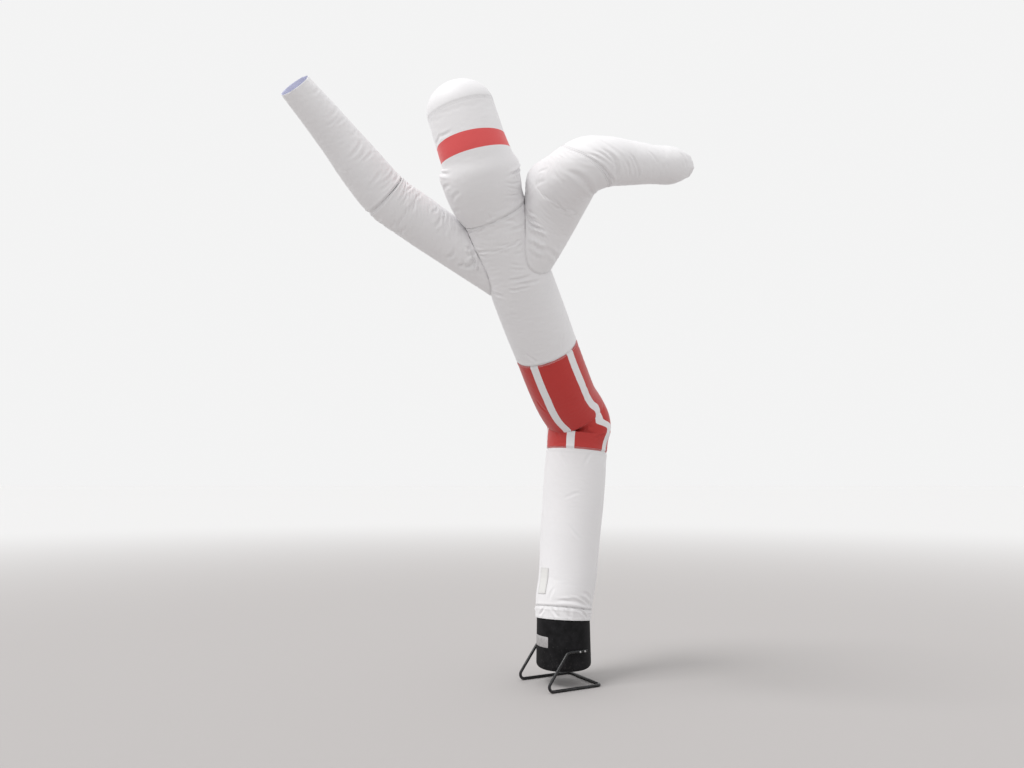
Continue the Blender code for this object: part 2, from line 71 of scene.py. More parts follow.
def add_node(tree, kind, sockets=None, **settings):
    # Adds a shader node, and links or sets its inputs by name or number
    made = tree.nodes.new("ShaderNode" + kind)
    for name, value in settings.items():
        setattr(made, name, value)
    for name, value in (sockets or {}).items():
        if isinstance(value, bpy.types.NodeSocket):
            tree.links.new(value, made.inputs[name])
        else:
            made.inputs[name].default_value = value
    return made


def put_in_scene(name, data):
    made = bpy.data.objects.new(name, data)
    bpy.context.scene.collection.objects.link(made)
    return made


def new_material(name, roughness, **plain):
    # A material whose nodes are then added round its one Principled shader
    made = bpy.data.materials.new(name)
    made.use_nodes = True
    shader = made.node_tree.nodes["Principled BSDF"]
    shader.inputs["Roughness"].default_value = roughness
    for socket, value in plain.items():
        shader.inputs[socket.replace("_", " ")].default_value = value
    return made, made.node_tree, shader


def wire(tree, shader, **values):
    # Links what varies over the surface to the shader's sockets
    for socket, value in values.items():
        tree.links.new(value, shader.inputs[socket.replace("_", " ")])


def add_math(tree, operation, *values):
    return add_node(tree, "Math", dict(enumerate(values)), operation=operation).outputs[0]


def add_noise(tree, scale, detail=2.0, roughness=0.5, **settings):
    # Noise on the piece's own coordinates
    place = add_node(tree, "TexCoord").outputs["Object"]
    return add_node(tree, "TexNoise", {"Vector": place, "Scale": scale, "Detail": detail,
                                       "Roughness": roughness}, **settings).outputs["Fac"]


def add_range(tree, value, low, high, to_low=0.0, to_high=1.0, **settings):
    # A value spread from low to high is mapped to another spread
    return add_node(tree, "MapRange", {"Value": value, "From Min": low, "From Max": high, "To Min": to_low,
                                       "To Max": to_high}, **settings).outputs["Result"]


def add_bump(tree, height, strength, distance, below=None, **settings):
    # A bump, over the one below it if there is one
    sockets = {"Height": height, "Strength": strength, "Distance": distance}
    if below is not None:
        sockets["Normal"] = below
    return add_node(tree, "Bump", sockets, **settings).outputs["Normal"]


def mix_colours(tree, share, first, second, blend="MIX"):
    # A colour mix whose sockets are found by name, since it has some of each kind
    mixed = add_node(tree, "Mix", data_type="RGBA", blend_type=blend)
    for key, value in (("Factor_Float", share), ("A_Color", first), ("B_Color", second)):
        socket = next(item for item in mixed.inputs if item.identifier == key)
        if isinstance(value, bpy.types.NodeSocket):
            tree.links.new(value, socket)
        else:
            socket.default_value = value
    return next(item for item in mixed.outputs if item.identifier == "Result_Color")


camera_data = bpy.data.cameras.new("camera")
camera_data.lens = CAMERA_LENS
camera_data.sensor_width = 36.0
camera = put_in_scene("camera", camera_data)
camera.location = Vector(AXIS) + Vector(CAMERA_FROM_AXIS)
camera.rotation_euler = (math.pi / 2 + CAMERA_TILT_UP, 0.0, 0.0)
bpy.context.scene.camera = camera

bpy.context.scene.view_settings.view_transform = "Standard"
world = bpy.data.worlds.new("studio")
world.use_nodes = True
world.node_tree.nodes["Background"].inputs["Color"].default_value = SKY_COLOUR
world.node_tree.nodes["Background"].inputs["Strength"].default_value = SKY_STRENGTH
bpy.context.scene.world = world

sun_data = bpy.data.lights.new("soft_sun", "SUN")
sun_data.energy = SUN_STRENGTH
sun_data.angle = SUN_WIDTH
sun = put_in_scene("soft_sun", sun_data)
sun.rotation_euler = Vector(SUN_FROM).to_track_quat("Z", "Y").to_euler()

bpy.ops.object.select_all(action="DESELECT")
bpy.ops.mesh.primitive_plane_add(size=FLOOR_SIZE, location=(0.0, 0.0, 0.0))
floor = bpy.context.object
floor.name = "studio_floor"
floor_finish, floor_tree, floor_shader = new_material("studio_floor", 0.9)
floor_place = add_node(floor_tree, "TexCoord").outputs["Object"]
floor_reach = add_node(floor_tree, "VectorMath", {0: floor_place}, operation="LENGTH").outputs["Value"]
# Painted light: the floor's colour fades to a paler grey with distance, so the far floor is as light as the
# sky
floor_painted_light_share = add_range(floor_tree, floor_reach, *FLOOR_PAINTED_LIGHT_FADE, interpolation_type="SMOOTHSTEP")
wire(floor_tree, floor_shader, Base_Color=mix_colours(floor_tree, floor_painted_light_share, FLOOR_NEAR, FLOOR_FAR_PAINTED_LIGHT))
floor.data.materials.append(floor_finish)

# Blower drum
# The blower's case, spun from 3 mm sheet: rounded in at its foot round the air intake, and open
# at the top, where the sleeve is drawn over it. Painted matte black, mottled by dust and wear.
DRUM_RADIUS = (DRUM_HIGH[0] - DRUM_LOW[0]) / 2
DRUM_NECK = 0.970
DRUM_SHOULDER = 0.520
DRUM_WALL = 0.003
DRUM_ROUND = 0.042
INTAKE_RADIUS = 0.176
INTAKE_LIP = 0.003
PAINT_DARK = (0.0035, 0.0035, 0.0040, 1.0)
PAINT_WORN = (0.014, 0.0135, 0.015, 1.0)
DUST = (0.060, 0.056, 0.054, 1.0)
DUST_HEIGHT = 0.45


def start_solid(add, **sizes):
    # Adds a primitive, puts its place into its mesh, and opens it for editing
    bpy.ops.object.select_all(action="DESELECT")
    add(**sizes)
    bpy.ops.object.transform_apply(location=True, rotation=True, scale=True)
    bpy.ops.object.mode_set(mode="EDIT")
    return bpy.context.object


def pick(kind, test):
    # Selects the faces or edges whose middle, or whose normal, passes the test, and no others
    bpy.ops.mesh.select_all(action="DESELECT")
    bpy.ops.mesh.select_mode(type=kind)
    edit = bmesh.from_edit_mesh(bpy.context.object.data)
    for item in (edit.faces if kind == "FACE" else edit.edges):
        middle = sum((vertex.co for vertex in item.verts), Vector()) / len(item.verts)
        if test(middle, item):
            item.select_set(True)
    bmesh.update_edit_mesh(bpy.context.object.data)


def draw_out(step):
    # Extrudes what is selected by a step
    bpy.ops.mesh.extrude_region_move(TRANSFORM_OT_translate={"value": step})


def apply_modifier(piece, kind, **settings):
    modifier = piece.modifiers.new("finish", kind)
    for name, value in settings.items():
        setattr(modifier, name, value)
    bpy.ops.object.modifier_apply(modifier=modifier.name)


def end_solid(piece, edge=0.0, angle=35.0):
    # Leaves edit mode, rounds the sharp edges, and smooths the rest
    bpy.ops.object.mode_set(mode="OBJECT")
    if edge > 0.0:
        apply_modifier(piece, "BEVEL", width=edge, segments=2, limit_method="ANGLE",
                       angle_limit=math.radians(angle))
    bpy.ops.object.shade_smooth_by_angle(angle=math.radians(angle))
    return piece


def join_solids(pieces):
    # Makes one piece of several, the first of them
    bpy.ops.object.select_all(action="DESELECT")
    for piece in pieces:
        piece.select_set(True)
    bpy.context.view_layer.objects.active = pieces[0]
    bpy.ops.object.join()
    return pieces[0]


def fit_solid(piece, name, finish, node):
    # Names the finished piece, and puts it in the place of its node
    piece.name = piece.data.name = name
    piece.data.materials.clear()
    piece.data.materials.append(finish)
    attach(piece, "root")
    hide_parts(node)


def black_paint(name, roughness, specular, worn, dust_share, grain):
    # Black paint: cloudy wear, specks of dust that gather low down, and a fine grain
    finish, tree, shader = new_material(name, roughness[0], Specular_IOR_Level=specular)
    clouds = add_noise(tree, scale=13.0, detail=6.0, roughness=0.65)
    painted = mix_colours(tree, add_range(tree, clouds, 0.38, 0.66), PAINT_DARK, worn)
    place = add_node(tree, "TexCoord").outputs["Object"]
    height = add_node(tree, "SeparateXYZ", {"Vector": place}).outputs["Z"]
    low_down = add_range(tree, height, 0.0, DUST_HEIGHT, 0.52, 0.66)
    above = add_math(tree, "SUBTRACT", add_noise(tree, scale=85.0, detail=3.0), low_down)
    settled = add_range(tree, above, 0.0, 0.10, 0.0, dust_share)
    wire(tree, shader, Base_Color=mix_colours(tree, settled, painted, DUST),
         Roughness=add_range(tree, clouds, 0.35, 0.7, *roughness),
         Normal=add_bump(tree, add_noise(tree, scale=grain), strength=0.35, distance=0.0006))
    return finish


shell_paint = black_paint("black_shell", (0.58, 0.80), 0.14, PAINT_WORN, 0.45, 420.0)
drum = start_solid(bpy.ops.mesh.primitive_cylinder_add, vertices=128, radius=DRUM_RADIUS,
                   depth=DRUM_SHOULDER - DRUM_LOW[2],
                   location=(AXIS[0], AXIS[1], 0.5 * (DRUM_LOW[2] + DRUM_SHOULDER)))
pick("FACE", lambda middle, face: face.normal.z > 0.9)
bpy.ops.transform.resize(value=(DRUM_NECK, DRUM_NECK, 1.0), center_override=(AXIS[0], AXIS[1], 0.0))
draw_out((0.0, 0.0, DRUM_HIGH[2] - DRUM_SHOULDER))
bpy.ops.mesh.delete(type="FACE")
pick("FACE", lambda middle, face: face.normal.z < -0.9)
bpy.ops.mesh.bevel(offset=DRUM_ROUND, segments=10)
pick("FACE", lambda middle, face: face.normal.z < -0.9999 and len(face.verts) > 4)
bpy.ops.mesh.inset(thickness=DRUM_RADIUS - DRUM_ROUND - INTAKE_RADIUS)
draw_out((0.0, 0.0, INTAKE_LIP))
bpy.ops.mesh.delete(type="FACE")
bpy.ops.object.mode_set(mode="OBJECT")
apply_modifier(drum, "SOLIDIFY", thickness=DRUM_WALL, offset=-1.0)
end_solid(drum, edge=0.0008, angle=50.0)
fit_solid(drum, "drum_case", shell_paint, "blower_drum")

# Intake guard
# Steel wire rings and spokes with a round plate in the middle, welded and set over the
# intake, so that nothing is drawn into the fan. It can't be seen in the photo.
GUARD_LOW, GUARD_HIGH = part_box("intake_guard")
GUARD_MIDDLE = (AXIS[0], AXIS[1], 0.5 * (GUARD_LOW[2] + GUARD_HIGH[2]))
GUARD_WIRE = 0.5 * (GUARD_HIGH[2] - GUARD_LOW[2])
GUARD_RINGS = (0.061, 0.079, 0.097, 0.115, 0.133, 0.151, 0.169, 0.184)
GUARD_PLATE = 0.046
GUARD_SPOKES = 8
tube_paint = black_paint("black_tube", (0.18, 0.36), 0.42, (0.012, 0.012, 0.014, 1.0), 0.25, 260.0)

guard_pieces = []
for ring in GUARD_RINGS:
    start_solid(bpy.ops.mesh.primitive_torus_add, major_radius=ring, minor_radius=GUARD_WIRE,
                major_segments=72, minor_segments=8, location=GUARD_MIDDLE)
    guard_pieces.append(end_solid(bpy.context.object))
for number in range(GUARD_SPOKES):
    turn = math.radians((number + 0.5) * 360.0 / GUARD_SPOKES)
    reach = 0.5 * (GUARD_PLATE + GUARD_RINGS[-1])
    start_solid(bpy.ops.mesh.primitive_cylinder_add, vertices=10, radius=GUARD_WIRE,
                depth=GUARD_RINGS[-1] - GUARD_PLATE + GUARD_WIRE, rotation=(0.0, math.pi / 2, turn),
                location=(AXIS[0] + reach * math.cos(turn), AXIS[1] + reach * math.sin(turn),
                          GUARD_MIDDLE[2] + 1.5 * GUARD_WIRE))
    guard_pieces.append(end_solid(bpy.context.object))
start_solid(bpy.ops.mesh.primitive_cylinder_add, vertices=64, radius=GUARD_PLATE + GUARD_WIRE,
            depth=2.0 * GUARD_WIRE, location=GUARD_MIDDLE)
guard_pieces.append(end_solid(bpy.context.object, edge=0.0012))
fit_solid(join_solids(guard_pieces), "guard_wires", tube_paint, "intake_guard")

# Motor pod
# The fan's motor in the middle of the drum: a cast case with cooling ribs round it. The fan
# itself is out of sight above it.
POD_LOW, POD_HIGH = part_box("motor_pod")
POD_RADIUS = 0.5 * (POD_HIGH[0] - POD_LOW[0])
POD_RIBS = 9
POD_GROOVE = 0.93
POD_END = 0.018
pod = start_solid(bpy.ops.mesh.primitive_cylinder_add, vertices=72, radius=POD_RADIUS,
                  depth=POD_HIGH[2] - POD_LOW[2],
                  location=(AXIS[0], AXIS[1], 0.5 * (POD_LOW[2] + POD_HIGH[2])))
pod_cuts = np.linspace(POD_LOW[2] + POD_END, POD_HIGH[2] - POD_END, 2 * POD_RIBS)
for cut_height in pod_cuts:
    bpy.ops.mesh.select_all(action="SELECT")
    bpy.ops.mesh.bisect(plane_co=(AXIS[0], AXIS[1], cut_height), plane_no=(0.0, 0.0, 1.0))
for foot, top in zip(pod_cuts[0::2], pod_cuts[1::2]):
    pick("FACE", lambda middle, face: foot < middle.z < top and abs(face.normal.z) < 0.1)
    bpy.ops.mesh.extrude_region_move()
    bpy.ops.transform.resize(value=(POD_GROOVE, POD_GROOVE, 1.0), center_override=(AXIS[0], AXIS[1], 0.0))
end_solid(pod, edge=0.0014)
fit_solid(pod, "motor_case", shell_paint, "motor_pod")

# Blank plate
# A thin satin aluminium plate with round corners, curved to the drum and held by four rivets.
PLATE_LOW, PLATE_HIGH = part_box("blank_plate")
PLATE_FIRST = math.radians(-90.0)
PLATE_LAST = math.radians(-37.5)
PLATE_CORNER = 0.006
PLATE_SHEET = 0.0011
PLATE_SEAT = DRUM_RADIUS - 0.0030
RIVET_INSET = 0.009
RIVET_RADIUS = 0.0027
PLATE_COLOUR = (0.50, 0.49, 0.49, 1.0)
PLATE_WORN = (0.36, 0.35, 0.35, 1.0)


def drum_point(angle, height, lift):
    # A point of the drum's wall, with angle 0 in front and the wall narrowing to its neck
    share = min(1.0, (height - DRUM_LOW[2]) / (DRUM_SHOULDER - DRUM_LOW[2]))
    radius = DRUM_RADIUS * (1.0 - (1.0 - DRUM_NECK) * share) + lift
    return Vector((AXIS[0] + radius * math.sin(angle), AXIS[1] - radius * math.cos(angle), height))


plate_wide = DRUM_RADIUS * (PLATE_LAST - PLATE_FIRST)
plate_high = PLATE_HIGH[2] - PLATE_LOW[2]
plate = start_solid(bpy.ops.mesh.primitive_plane_add, size=1.0)
bpy.ops.transform.resize(value=(plate_wide, plate_high, 1.0))
bpy.ops.mesh.bevel(offset=PLATE_CORNER, segments=5, affect="VERTICES")
for cut_place in np.linspace(-0.5, 0.5, 27)[1:-1] * plate_wide:
    bpy.ops.mesh.select_all(action="SELECT")
    bpy.ops.mesh.bisect(plane_co=(cut_place, 0.0, 0.0), plane_no=(1.0, 0.0, 0.0))
bpy.ops.object.mode_set(mode="OBJECT")
for vertex in plate.data.vertices:
    vertex.co = drum_point(0.5 * (PLATE_FIRST + PLATE_LAST) + vertex.co.x / DRUM_RADIUS,
                           0.5 * (PLATE_LOW[2] + PLATE_HIGH[2]) + vertex.co.y, 0.0006)
apply_modifier(plate, "SOLIDIFY", thickness=PLATE_SHEET, offset=1.0)
plate_pieces = [end_solid(plate, edge=0.0003, angle=50.0)]
for angle in (PLATE_FIRST + RIVET_INSET / DRUM_RADIUS, PLATE_LAST - RIVET_INSET / DRUM_RADIUS):
    for height in (PLATE_LOW[2] + RIVET_INSET, PLATE_HIGH[2] - RIVET_INSET):
        rivet = start_solid(bpy.ops.mesh.primitive_uv_sphere_add, segments=16, ring_count=8,
                            radius=RIVET_RADIUS, location=drum_point(angle, height, 0.0012))
        plate_pieces.append(end_solid(rivet, angle=80.0))
plate_finish, plate_tree, plate_shader = new_material("plate_grey", 0.36, Metallic=0.55)
plate_rubbed = add_noise(plate_tree, scale=60.0, detail=5.0)
plate_share = add_range(plate_tree, plate_rubbed, 0.35, 0.75)
wire(plate_tree, plate_shader, Base_Color=mix_colours(plate_tree, plate_share, PLATE_COLOUR, PLATE_WORN),
     Normal=add_bump(plate_tree, plate_rubbed, strength=0.2, distance=0.0004))
fit_solid(join_solids(plate_pieces), "plain_plate", plate_finish, "blank_plate")

# Cable gland
# A moulded plastic gland low at the back, screwed through the wall by its hexagon collar.
GLAND_ANGLE = math.radians(153.75)
GLAND_HEIGHT = 0.235
# Distance out from the wall, radius
GLAND_STEPS = [(0.0045, 0.0105), (0.0140, 0.0105), (0.0180, 0.0078), (0.0250, 0.0068), (0.0262, 0.0062)]
GLAND_MOUTH = 0.0042
GLAND_BORE = 0.018
COLLAR_STEPS = [(0.0, 0.0125), (0.0036, 0.0125), (0.0044, 0.0116)]
PLASTIC_BLACK = (0.018, 0.018, 0.019, 1.0)


def turn_out(seat, outward, sides, steps):
    # A turned piece, drawn out step by step from a disc on its seat
    facing = outward.to_track_quat("Z", "Y").to_euler()
    made = start_solid(bpy.ops.mesh.primitive_circle_add, vertices=sides, radius=steps[0][1],
                       fill_type="NGON", location=seat + outward * steps[0][0], rotation=facing)
    for (place, radius), (next_place, next_radius) in zip(steps, steps[1:]):
        draw_out(outward * (next_place - place))
        share = next_radius / radius
        bpy.ops.transform.resize(value=(share, share, share), center_override=seat + outward * next_place)
    return made


gland_out = Vector((math.sin(GLAND_ANGLE), -math.cos(GLAND_ANGLE), 0.0))
gland_seat = drum_point(GLAND_ANGLE, GLAND_HEIGHT, 0.0)
gland = turn_out(gland_seat, gland_out, 40, GLAND_STEPS)
bpy.ops.mesh.inset(thickness=GLAND_STEPS[-1][1] - GLAND_MOUTH)
draw_out(gland_out * -GLAND_BORE)
end_solid(gland, edge=0.0005)
collar = turn_out(gland_seat, gland_out, 6, COLLAR_STEPS)
end_solid(collar, edge=0.0004)
plastic, plastic_tree, plastic_shader = new_material("black_plastic", 0.48)
plastic_shader.inputs["Base Color"].default_value = PLASTIC_BLACK
wire(plastic_tree, plastic_shader,
     Normal=add_bump(plastic_tree, add_noise(plastic_tree, scale=900.0), strength=0.25, distance=0.0003))
fit_solid(join_solids([gland, collar]), "gland_and_collar", plastic, "cable_gland")

# Stand tube
# One steel tube bent six times: two runs bolted to the drum, two legs, two ground arms and
# the bar that joins them. Gloss black powder coat, scuffed where it meets the ground.
STAND_HEADING = math.radians(28.0)
TUBE_RADIUS = 0.0125
STAND_BACK = -0.322
STAND_FORE = 0.212
STAND_TOP_BEND = -0.108
STAND_TUBE_END = 0.078
STAND_TOP = 0.300
STAND_BEND = 0.038
STAND_HALF_WIDTH = 0.24276
BEND_STEPS = 12
TUBE_END_CAP = 0.0016
STAND_ALONG = Vector((math.cos(STAND_HEADING), math.sin(STAND_HEADING), 0.0))
STAND_ACROSS = Vector((math.sin(STAND_HEADING), -math.cos(STAND_HEADING), 0.0))


def stand_point(along, across, height):
    return Vector(AXIS) + STAND_ALONG * along + STAND_ACROSS * across + Vector((0.0, 0.0, height))


def rounded_route(corners, radius):
    # A route with an arc in the place of each inner corner
    route = [corners[0]]
    for before, corner, after in zip(corners, corners[1:], corners[2:]):
        back = (before - corner).normalized()
        ahead = (after - corner).normalized()
        half = 0.5 * back.angle(ahead)
        middle = corner + (back + ahead).normalized() * (radius / math.sin(half))
        start = corner + back * (radius / math.tan(half)) - middle
        end = corner + ahead * (radius / math.tan(half)) - middle
        turned = [start.slerp(end, step / BEND_STEPS).normalized() for step in range(BEND_STEPS + 1)]
        route += [middle + spoke * radius for spoke in turned]
    return route + [corners[-1]]


stand_runs = [[stand_point(STAND_TUBE_END, across, STAND_TOP),
               stand_point(STAND_TOP_BEND, across, STAND_TOP),
               stand_point(STAND_BACK, across, TUBE_RADIUS),
               stand_point(STAND_FORE, across, TUBE_RADIUS)]
              for across in (STAND_HALF_WIDTH, -STAND_HALF_WIDTH)]
stand_route = rounded_route(stand_runs[0] + stand_runs[1][::-1], STAND_BEND)
bend = bpy.data.curves.new("stand_route", "CURVE")
bend.dimensions = "3D"
bend.bevel_depth = TUBE_RADIUS
bend.bevel_resolution = 8
bend.use_fill_caps = True
line = bend.splines.new("POLY")
line.points.add(len(stand_route) - 1)
for point, place in zip(line.points, stand_route):
    point.co = (*place, 1.0)
stand = put_in_scene("stand", bend)
bpy.ops.object.select_all(action="DESELECT")
stand.select_set(True)
bpy.context.view_layer.objects.active = stand
bpy.ops.object.convert(target="MESH")
stand = end_solid(bpy.context.object, edge=TUBE_END_CAP, angle=50.0)
fit_solid(stand, "bent_tube", tube_paint, "stand_tube")

# Stand bolts
# Four zinc-plated hexagon bolts with washers, two on each side, hold the tube to the drum.
# Distance out from the tube, radius
WASHER_STEPS = [(0.0, 0.0075), (0.0014, 0.0075)]
HEAD_STEPS = [(0.0014, 0.0060), (0.0056, 0.0060), (0.0064, 0.0050)]
ZINC_BRIGHT = (0.72, 0.72, 0.74, 1.0)
ZINC_DULL = (0.50, 0.50, 0.48, 1.0)
zinc, zinc_tree, zinc_shader = new_material("bright_steel", 0.30, Metallic=1.0)
zinc_clouds = add_noise(zinc_tree, scale=240.0, detail=4.0)
wire(zinc_tree, zinc_shader, Base_Color=mix_colours(zinc_tree, zinc_clouds, ZINC_BRIGHT, ZINC_DULL),
     Roughness=add_range(zinc_tree, zinc_clouds, 0.0, 1.0, 0.2, 0.45))
for number in range(1, 5):
    low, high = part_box("stand_bolt_%d" % number)
    middle = 0.5 * (Vector(low) + Vector(high)) - Vector(AXIS)
    side = math.copysign(1.0, middle.dot(STAND_ACROSS))
    seat = stand_point(middle.dot(STAND_ALONG), side * (STAND_HALF_WIDTH + TUBE_RADIUS), STAND_TOP)
    washer = end_solid(turn_out(seat, STAND_ACROSS * side, 32, WASHER_STEPS), edge=0.0003)
    head = end_solid(turn_out(seat, STAND_ACROSS * side, 6, HEAD_STEPS), edge=0.0003)
    fit_solid(join_solids([washer, head]), "bolt_%d" % number, zinc,
              "stand_bolt_%d" % number)

# Sleeve cuff
# The lowest ring of white cloth, drawn down over the drum's rim. Its hem and the seam above
# it are gathered by a tie that lies inside, so the cloth puckers in uneven small folds.
# x, y, z from the axis, radius, fold angle from the front, pull of the fold, ear beside it
TRUNK_LINE = [
    (0.000, 0.000, 0.530, 0.2332, 0, 0.0, 0.0),
    (0.000, 0.000, 0.553, 0.2356, 0, 0.0, 0.0),
    (0.001, 0.001, 0.580, 0.2400, 0, 0.0, 0.0),
    (0.003, 0.002, 0.612, 0.2440, 0, 0.0, 0.0),
    (0.010, 0.006, 0.690, 0.2495, 0, 0.0, 0.0),
    (0.036, 0.015, 0.847, 0.2525, 0, 0.0, 0.0),
    (0.051, 0.023, 1.014, 0.2565, 0, 0.0, 0.0),
    (0.071, 0.036, 1.269, 0.2650, 0, 0.0, 0.0),
    (0.097, 0.049, 1.526, 0.2710, 0, 0.0, 0.0),
    (0.118, 0.062, 1.787, 0.2740, 0, 0.0, 0.0),
    (0.133, 0.070, 1.954, 0.2710, -38, 0.0, 0.0),
    (0.142, 0.074, 2.080, 0.2750, -38, 0.004, 0.022),
    (0.149, 0.070, 2.150, 0.2790, -38, 0.022, 0.034),
    (0.142, 0.046, 2.210, 0.2810, -38, 0.110, 0.026),
    (0.112, 0.010, 2.280, 0.2770, -38, 0.028, 0.006),
    (0.050, -0.076, 2.365, 0.2730, -38, 0.004, 0.000),
    (-0.047, -0.239, 2.548, 0.2730, -38, 0.0, 0.0),
    (-0.150, -0.396, 2.781, 0.2700, 180, 0.0, 0.0),
    (-0.231, -0.520, 2.965, 0.2720, 180, 0.0, 0.0),
    (-0.312, -0.644, 3.150, 0.2700, 180, 0.0, 0.0),
    (-0.404, -0.786, 3.361, 0.2660, 180, 0.0, 0.0),
    (-0.500, -0.932, 3.580, 0.2640, 180, 0.0, 0.0),
    (-0.569, -1.040, 3.738, 0.2600, 180, 0.0, 0.0),
    (-0.626, -1.106, 3.838, 0.2870, 180, 0.010, 0.0),
    (-0.670, -1.184, 3.955, 0.3000, 180, 0.045, 0.004),
    (-0.686, -1.222, 4.018, 0.2940, 180, 0.100, 0.016),
    (-0.700, -1.248, 4.072, 0.2760, 180, 0.045, 0.004),
    (-0.735, -1.284, 4.170, 0.2660, 180, 0.010, 0.0),
    (-0.775, -1.309, 4.290, 0.2630, 180, 0.0, 0.0),
    (-0.818, -1.334, 4.425, 0.2560, 180, 0.0, 0.0),
]
FRONT = np.array([0.0, -1.0, 0.0])
# The hem and the cuff seam hang down on the right and at the back, in degrees, by row
SEAM_DIPS = [(3.0, 6.0), (3.5, 7.2), (4.5, 9.0), (5.0, 10.5)]
# Half the spread of a fold and of the ears beside it, and where the ears stand, in degrees
FOLD_SPREAD = 78.0
EAR_PLACE = 92.0
EAR_SPREAD = 34.0
TRUNK_SIDES = 128
CLOTH_STEP = 0.0135
# The seams are drawn in, the cloth between them is cut wider, and a little longer
SEAM_DRAW = -0.006
CUT_EASE = 0.006
SLACK_ALONG = 0.006
START_NOISE = 0.0012
AIR_PRESSURE = 9.0
AIR_STEPS = 18
PUSH_LIMIT = 0.016
# Depth, width and distance from a seam of its valley, and of the felled edge's ridge
SEAM_VALLEY = (0.0045, 0.009, 0.0)
SEAM_RIDGE = (0.0022, 0.008, 0.020)
# How far below an upper seam its draw reaches
SEAM_REACH = 0.08
WHITE = (0.80, 0.79, 0.80, 1.0)
# Painted shade: the grey that darkens the stitches stands for the shade in their needle holes
STITCH_HOLE_SHADE = (0.60, 0.59, 0.60, 1.0)
# Distance of each row of stitches from its seam, half a row's width, and a stitch and its gap
STITCH_ROWS = (0.005, 0.012)
STITCH_WIDTH = 0.0009
STITCH_LENGTH = 0.0045
STITCH_GAP = 0.0012
RIPSTOP_STEP = 0.006
RIPSTOP_THREAD = 0.0005
CUFF_GATHERS = 17
CUFF_GATHER_DEPTH = 0.0022
CUFF_PUCKERS = 31
CUFF_PUCKER_DEPTH = 0.0016
CUFF_HEM = 0.014
CUFF_HEM_DEPTH = 0.0016
CUFF_HEM_EDGE = 0.0012
CUFF_RADIUS = 0.240
CREASE_BOW = 0.09
CREASE_UNITS = np.array([1000.0, 1.0, 1000.0, 1.0, 1000.0, 1000.0])
# Millimetres up and degrees round where a crease starts and ends, its depth and its width
CUFF_CREASES = [
    (20, -14, 75, -30, 7.1, 9), (18, 8, 70, -3, 6.1, 9), (78, 26, 20, 52, 7.8, 9),
    (70, -46, 22, -62, 6.8, 9), (18, 66, 70, 82, 6.8, 9), (20, 104, 74, 96, 6.8, 10),
    (22, -84, 74, -100, 7.1, 10), (20, 130, 70, 148, 6.8, 10), (74, 168, 22, 186, 7.1, 10),
    (20, -122, 72, -138, 6.8, 10),
]


def places_of_rows(table):
    # How far along the middle line each row of a table is, in metres
    rows = np.array(table, float)
    steps = np.linalg.norm(np.diff(rows[:, :3], axis=0), axis=1)
    return np.concatenate([[0.0], np.cumsum(steps)])


def read_table(table, at):
    # The rows' values at places along the middle line, on curves smooth through each row
    rows = np.array(table, float)
    knots = places_of_rows(table)
    steps = np.diff(knots)[:, None]
    slopes = np.diff(rows, axis=0) / steps
    tangents = np.concatenate([slopes[:1], (slopes[:-1] * steps[1:] + slopes[1:] * steps[:-1])
                               / (steps[1:] + steps[:-1]), slopes[-1:]])
    low = np.clip(np.searchsorted(knots, at, side="right") - 1, 0, len(steps) - 1)
    span = steps[low]
    t = (np.asarray(at)[:, None] - knots[low][:, None]) / span
    return ((2 * t ** 3 - 3 * t ** 2 + 1) * rows[low] + (t ** 3 - 2 * t ** 2 + t) * span * tangents[low]
            + (3 * t ** 2 - 2 * t ** 3) * rows[low + 1] + (t ** 3 - t ** 2) * span * tangents[low + 1])


def bell(distance, spread):
    # 1 in the middle, falling softly to 0 at the spread
    near = np.clip(np.abs(distance) / spread, 0.0, 1.0)
    return np.cos(0.5 * math.pi * near) ** 2


def unit(vectors):
    return vectors / np.linalg.norm(vectors, axis=-1, keepdims=True)


def turns_round(count):
    return np.arange(count) * 2.0 * math.pi / count


def girth_of(rows):
    return 2.0 * math.pi * float(np.mean([row[3] for row in rows]))


def lay_tube(table, at, sides, reference, dips=None, growth=0.0):
    # A grid of points for a tube of cloth, with a hoop for each place along its middle line.
    # Angle 0 faces the reference. A hoop is square to the line, or dips as the low seams do
    values = read_table(table, at)
    reach = 0.02
    along = unit(read_table(table, at + reach)[:, :3] - read_table(table, at - reach)[:, :3])
    if dips is not None:
        knots = places_of_rows(table)
        right, back = (np.radians(np.interp(at, knots[:len(dips)], [row[way] for row in dips]))
                       for way in (0, 1))
        hung = unit(np.stack([np.tan(right), np.tan(back), 1.0 + 0.0 * right], axis=1))
        share = bell(np.maximum(at - knots[len(dips) - 1], 0.0),
                     knots[len(dips) + 3] - knots[len(dips) - 1])[:, None]
        along = unit(along * (1.0 - share) + hung * share)
    front = unit(reference - (along @ reference)[:, None] * along)
    side = np.cross(along, front)
    degrees = np.arange(sides) * 360.0 / sides
    turn = np.radians(degrees)
    from_fold = (degrees[None, :] - values[:, 4:5] + 180.0) % 360.0 - 180.0
    radius = (values[:, 3:4] + growth - values[:, 5:6] * bell(from_fold, FOLD_SPREAD)
              + values[:, 6:7] * bell(np.abs(from_fold) - EAR_PLACE, EAR_SPREAD))
    spokes = (front[:, None, :] * np.cos(turn)[None, :, None]
              + side[:, None, :] * np.sin(turn)[None, :, None])
    return AXIS + values[:, None, :3] + spokes * radius[:, :, None]


def grid_faces(rows, sides):
    first = (np.arange(rows - 1) * sides)[:, None] + np.arange(sides)[None, :]
    after = (np.arange(rows - 1) * sides)[:, None] + (np.arange(sides)[None, :] + 1) % sides
    return np.stack([first, after, after + sides, first + sides], axis=-1).reshape(-1, 4)


def grid_normals(grid):
    # Outward normals of a tube's grid
    around = np.roll(grid, -1, axis=1) - np.roll(grid, 1, axis=1)
    upward = np.gradient(grid, axis=0)
    return unit(np.cross(around, upward))


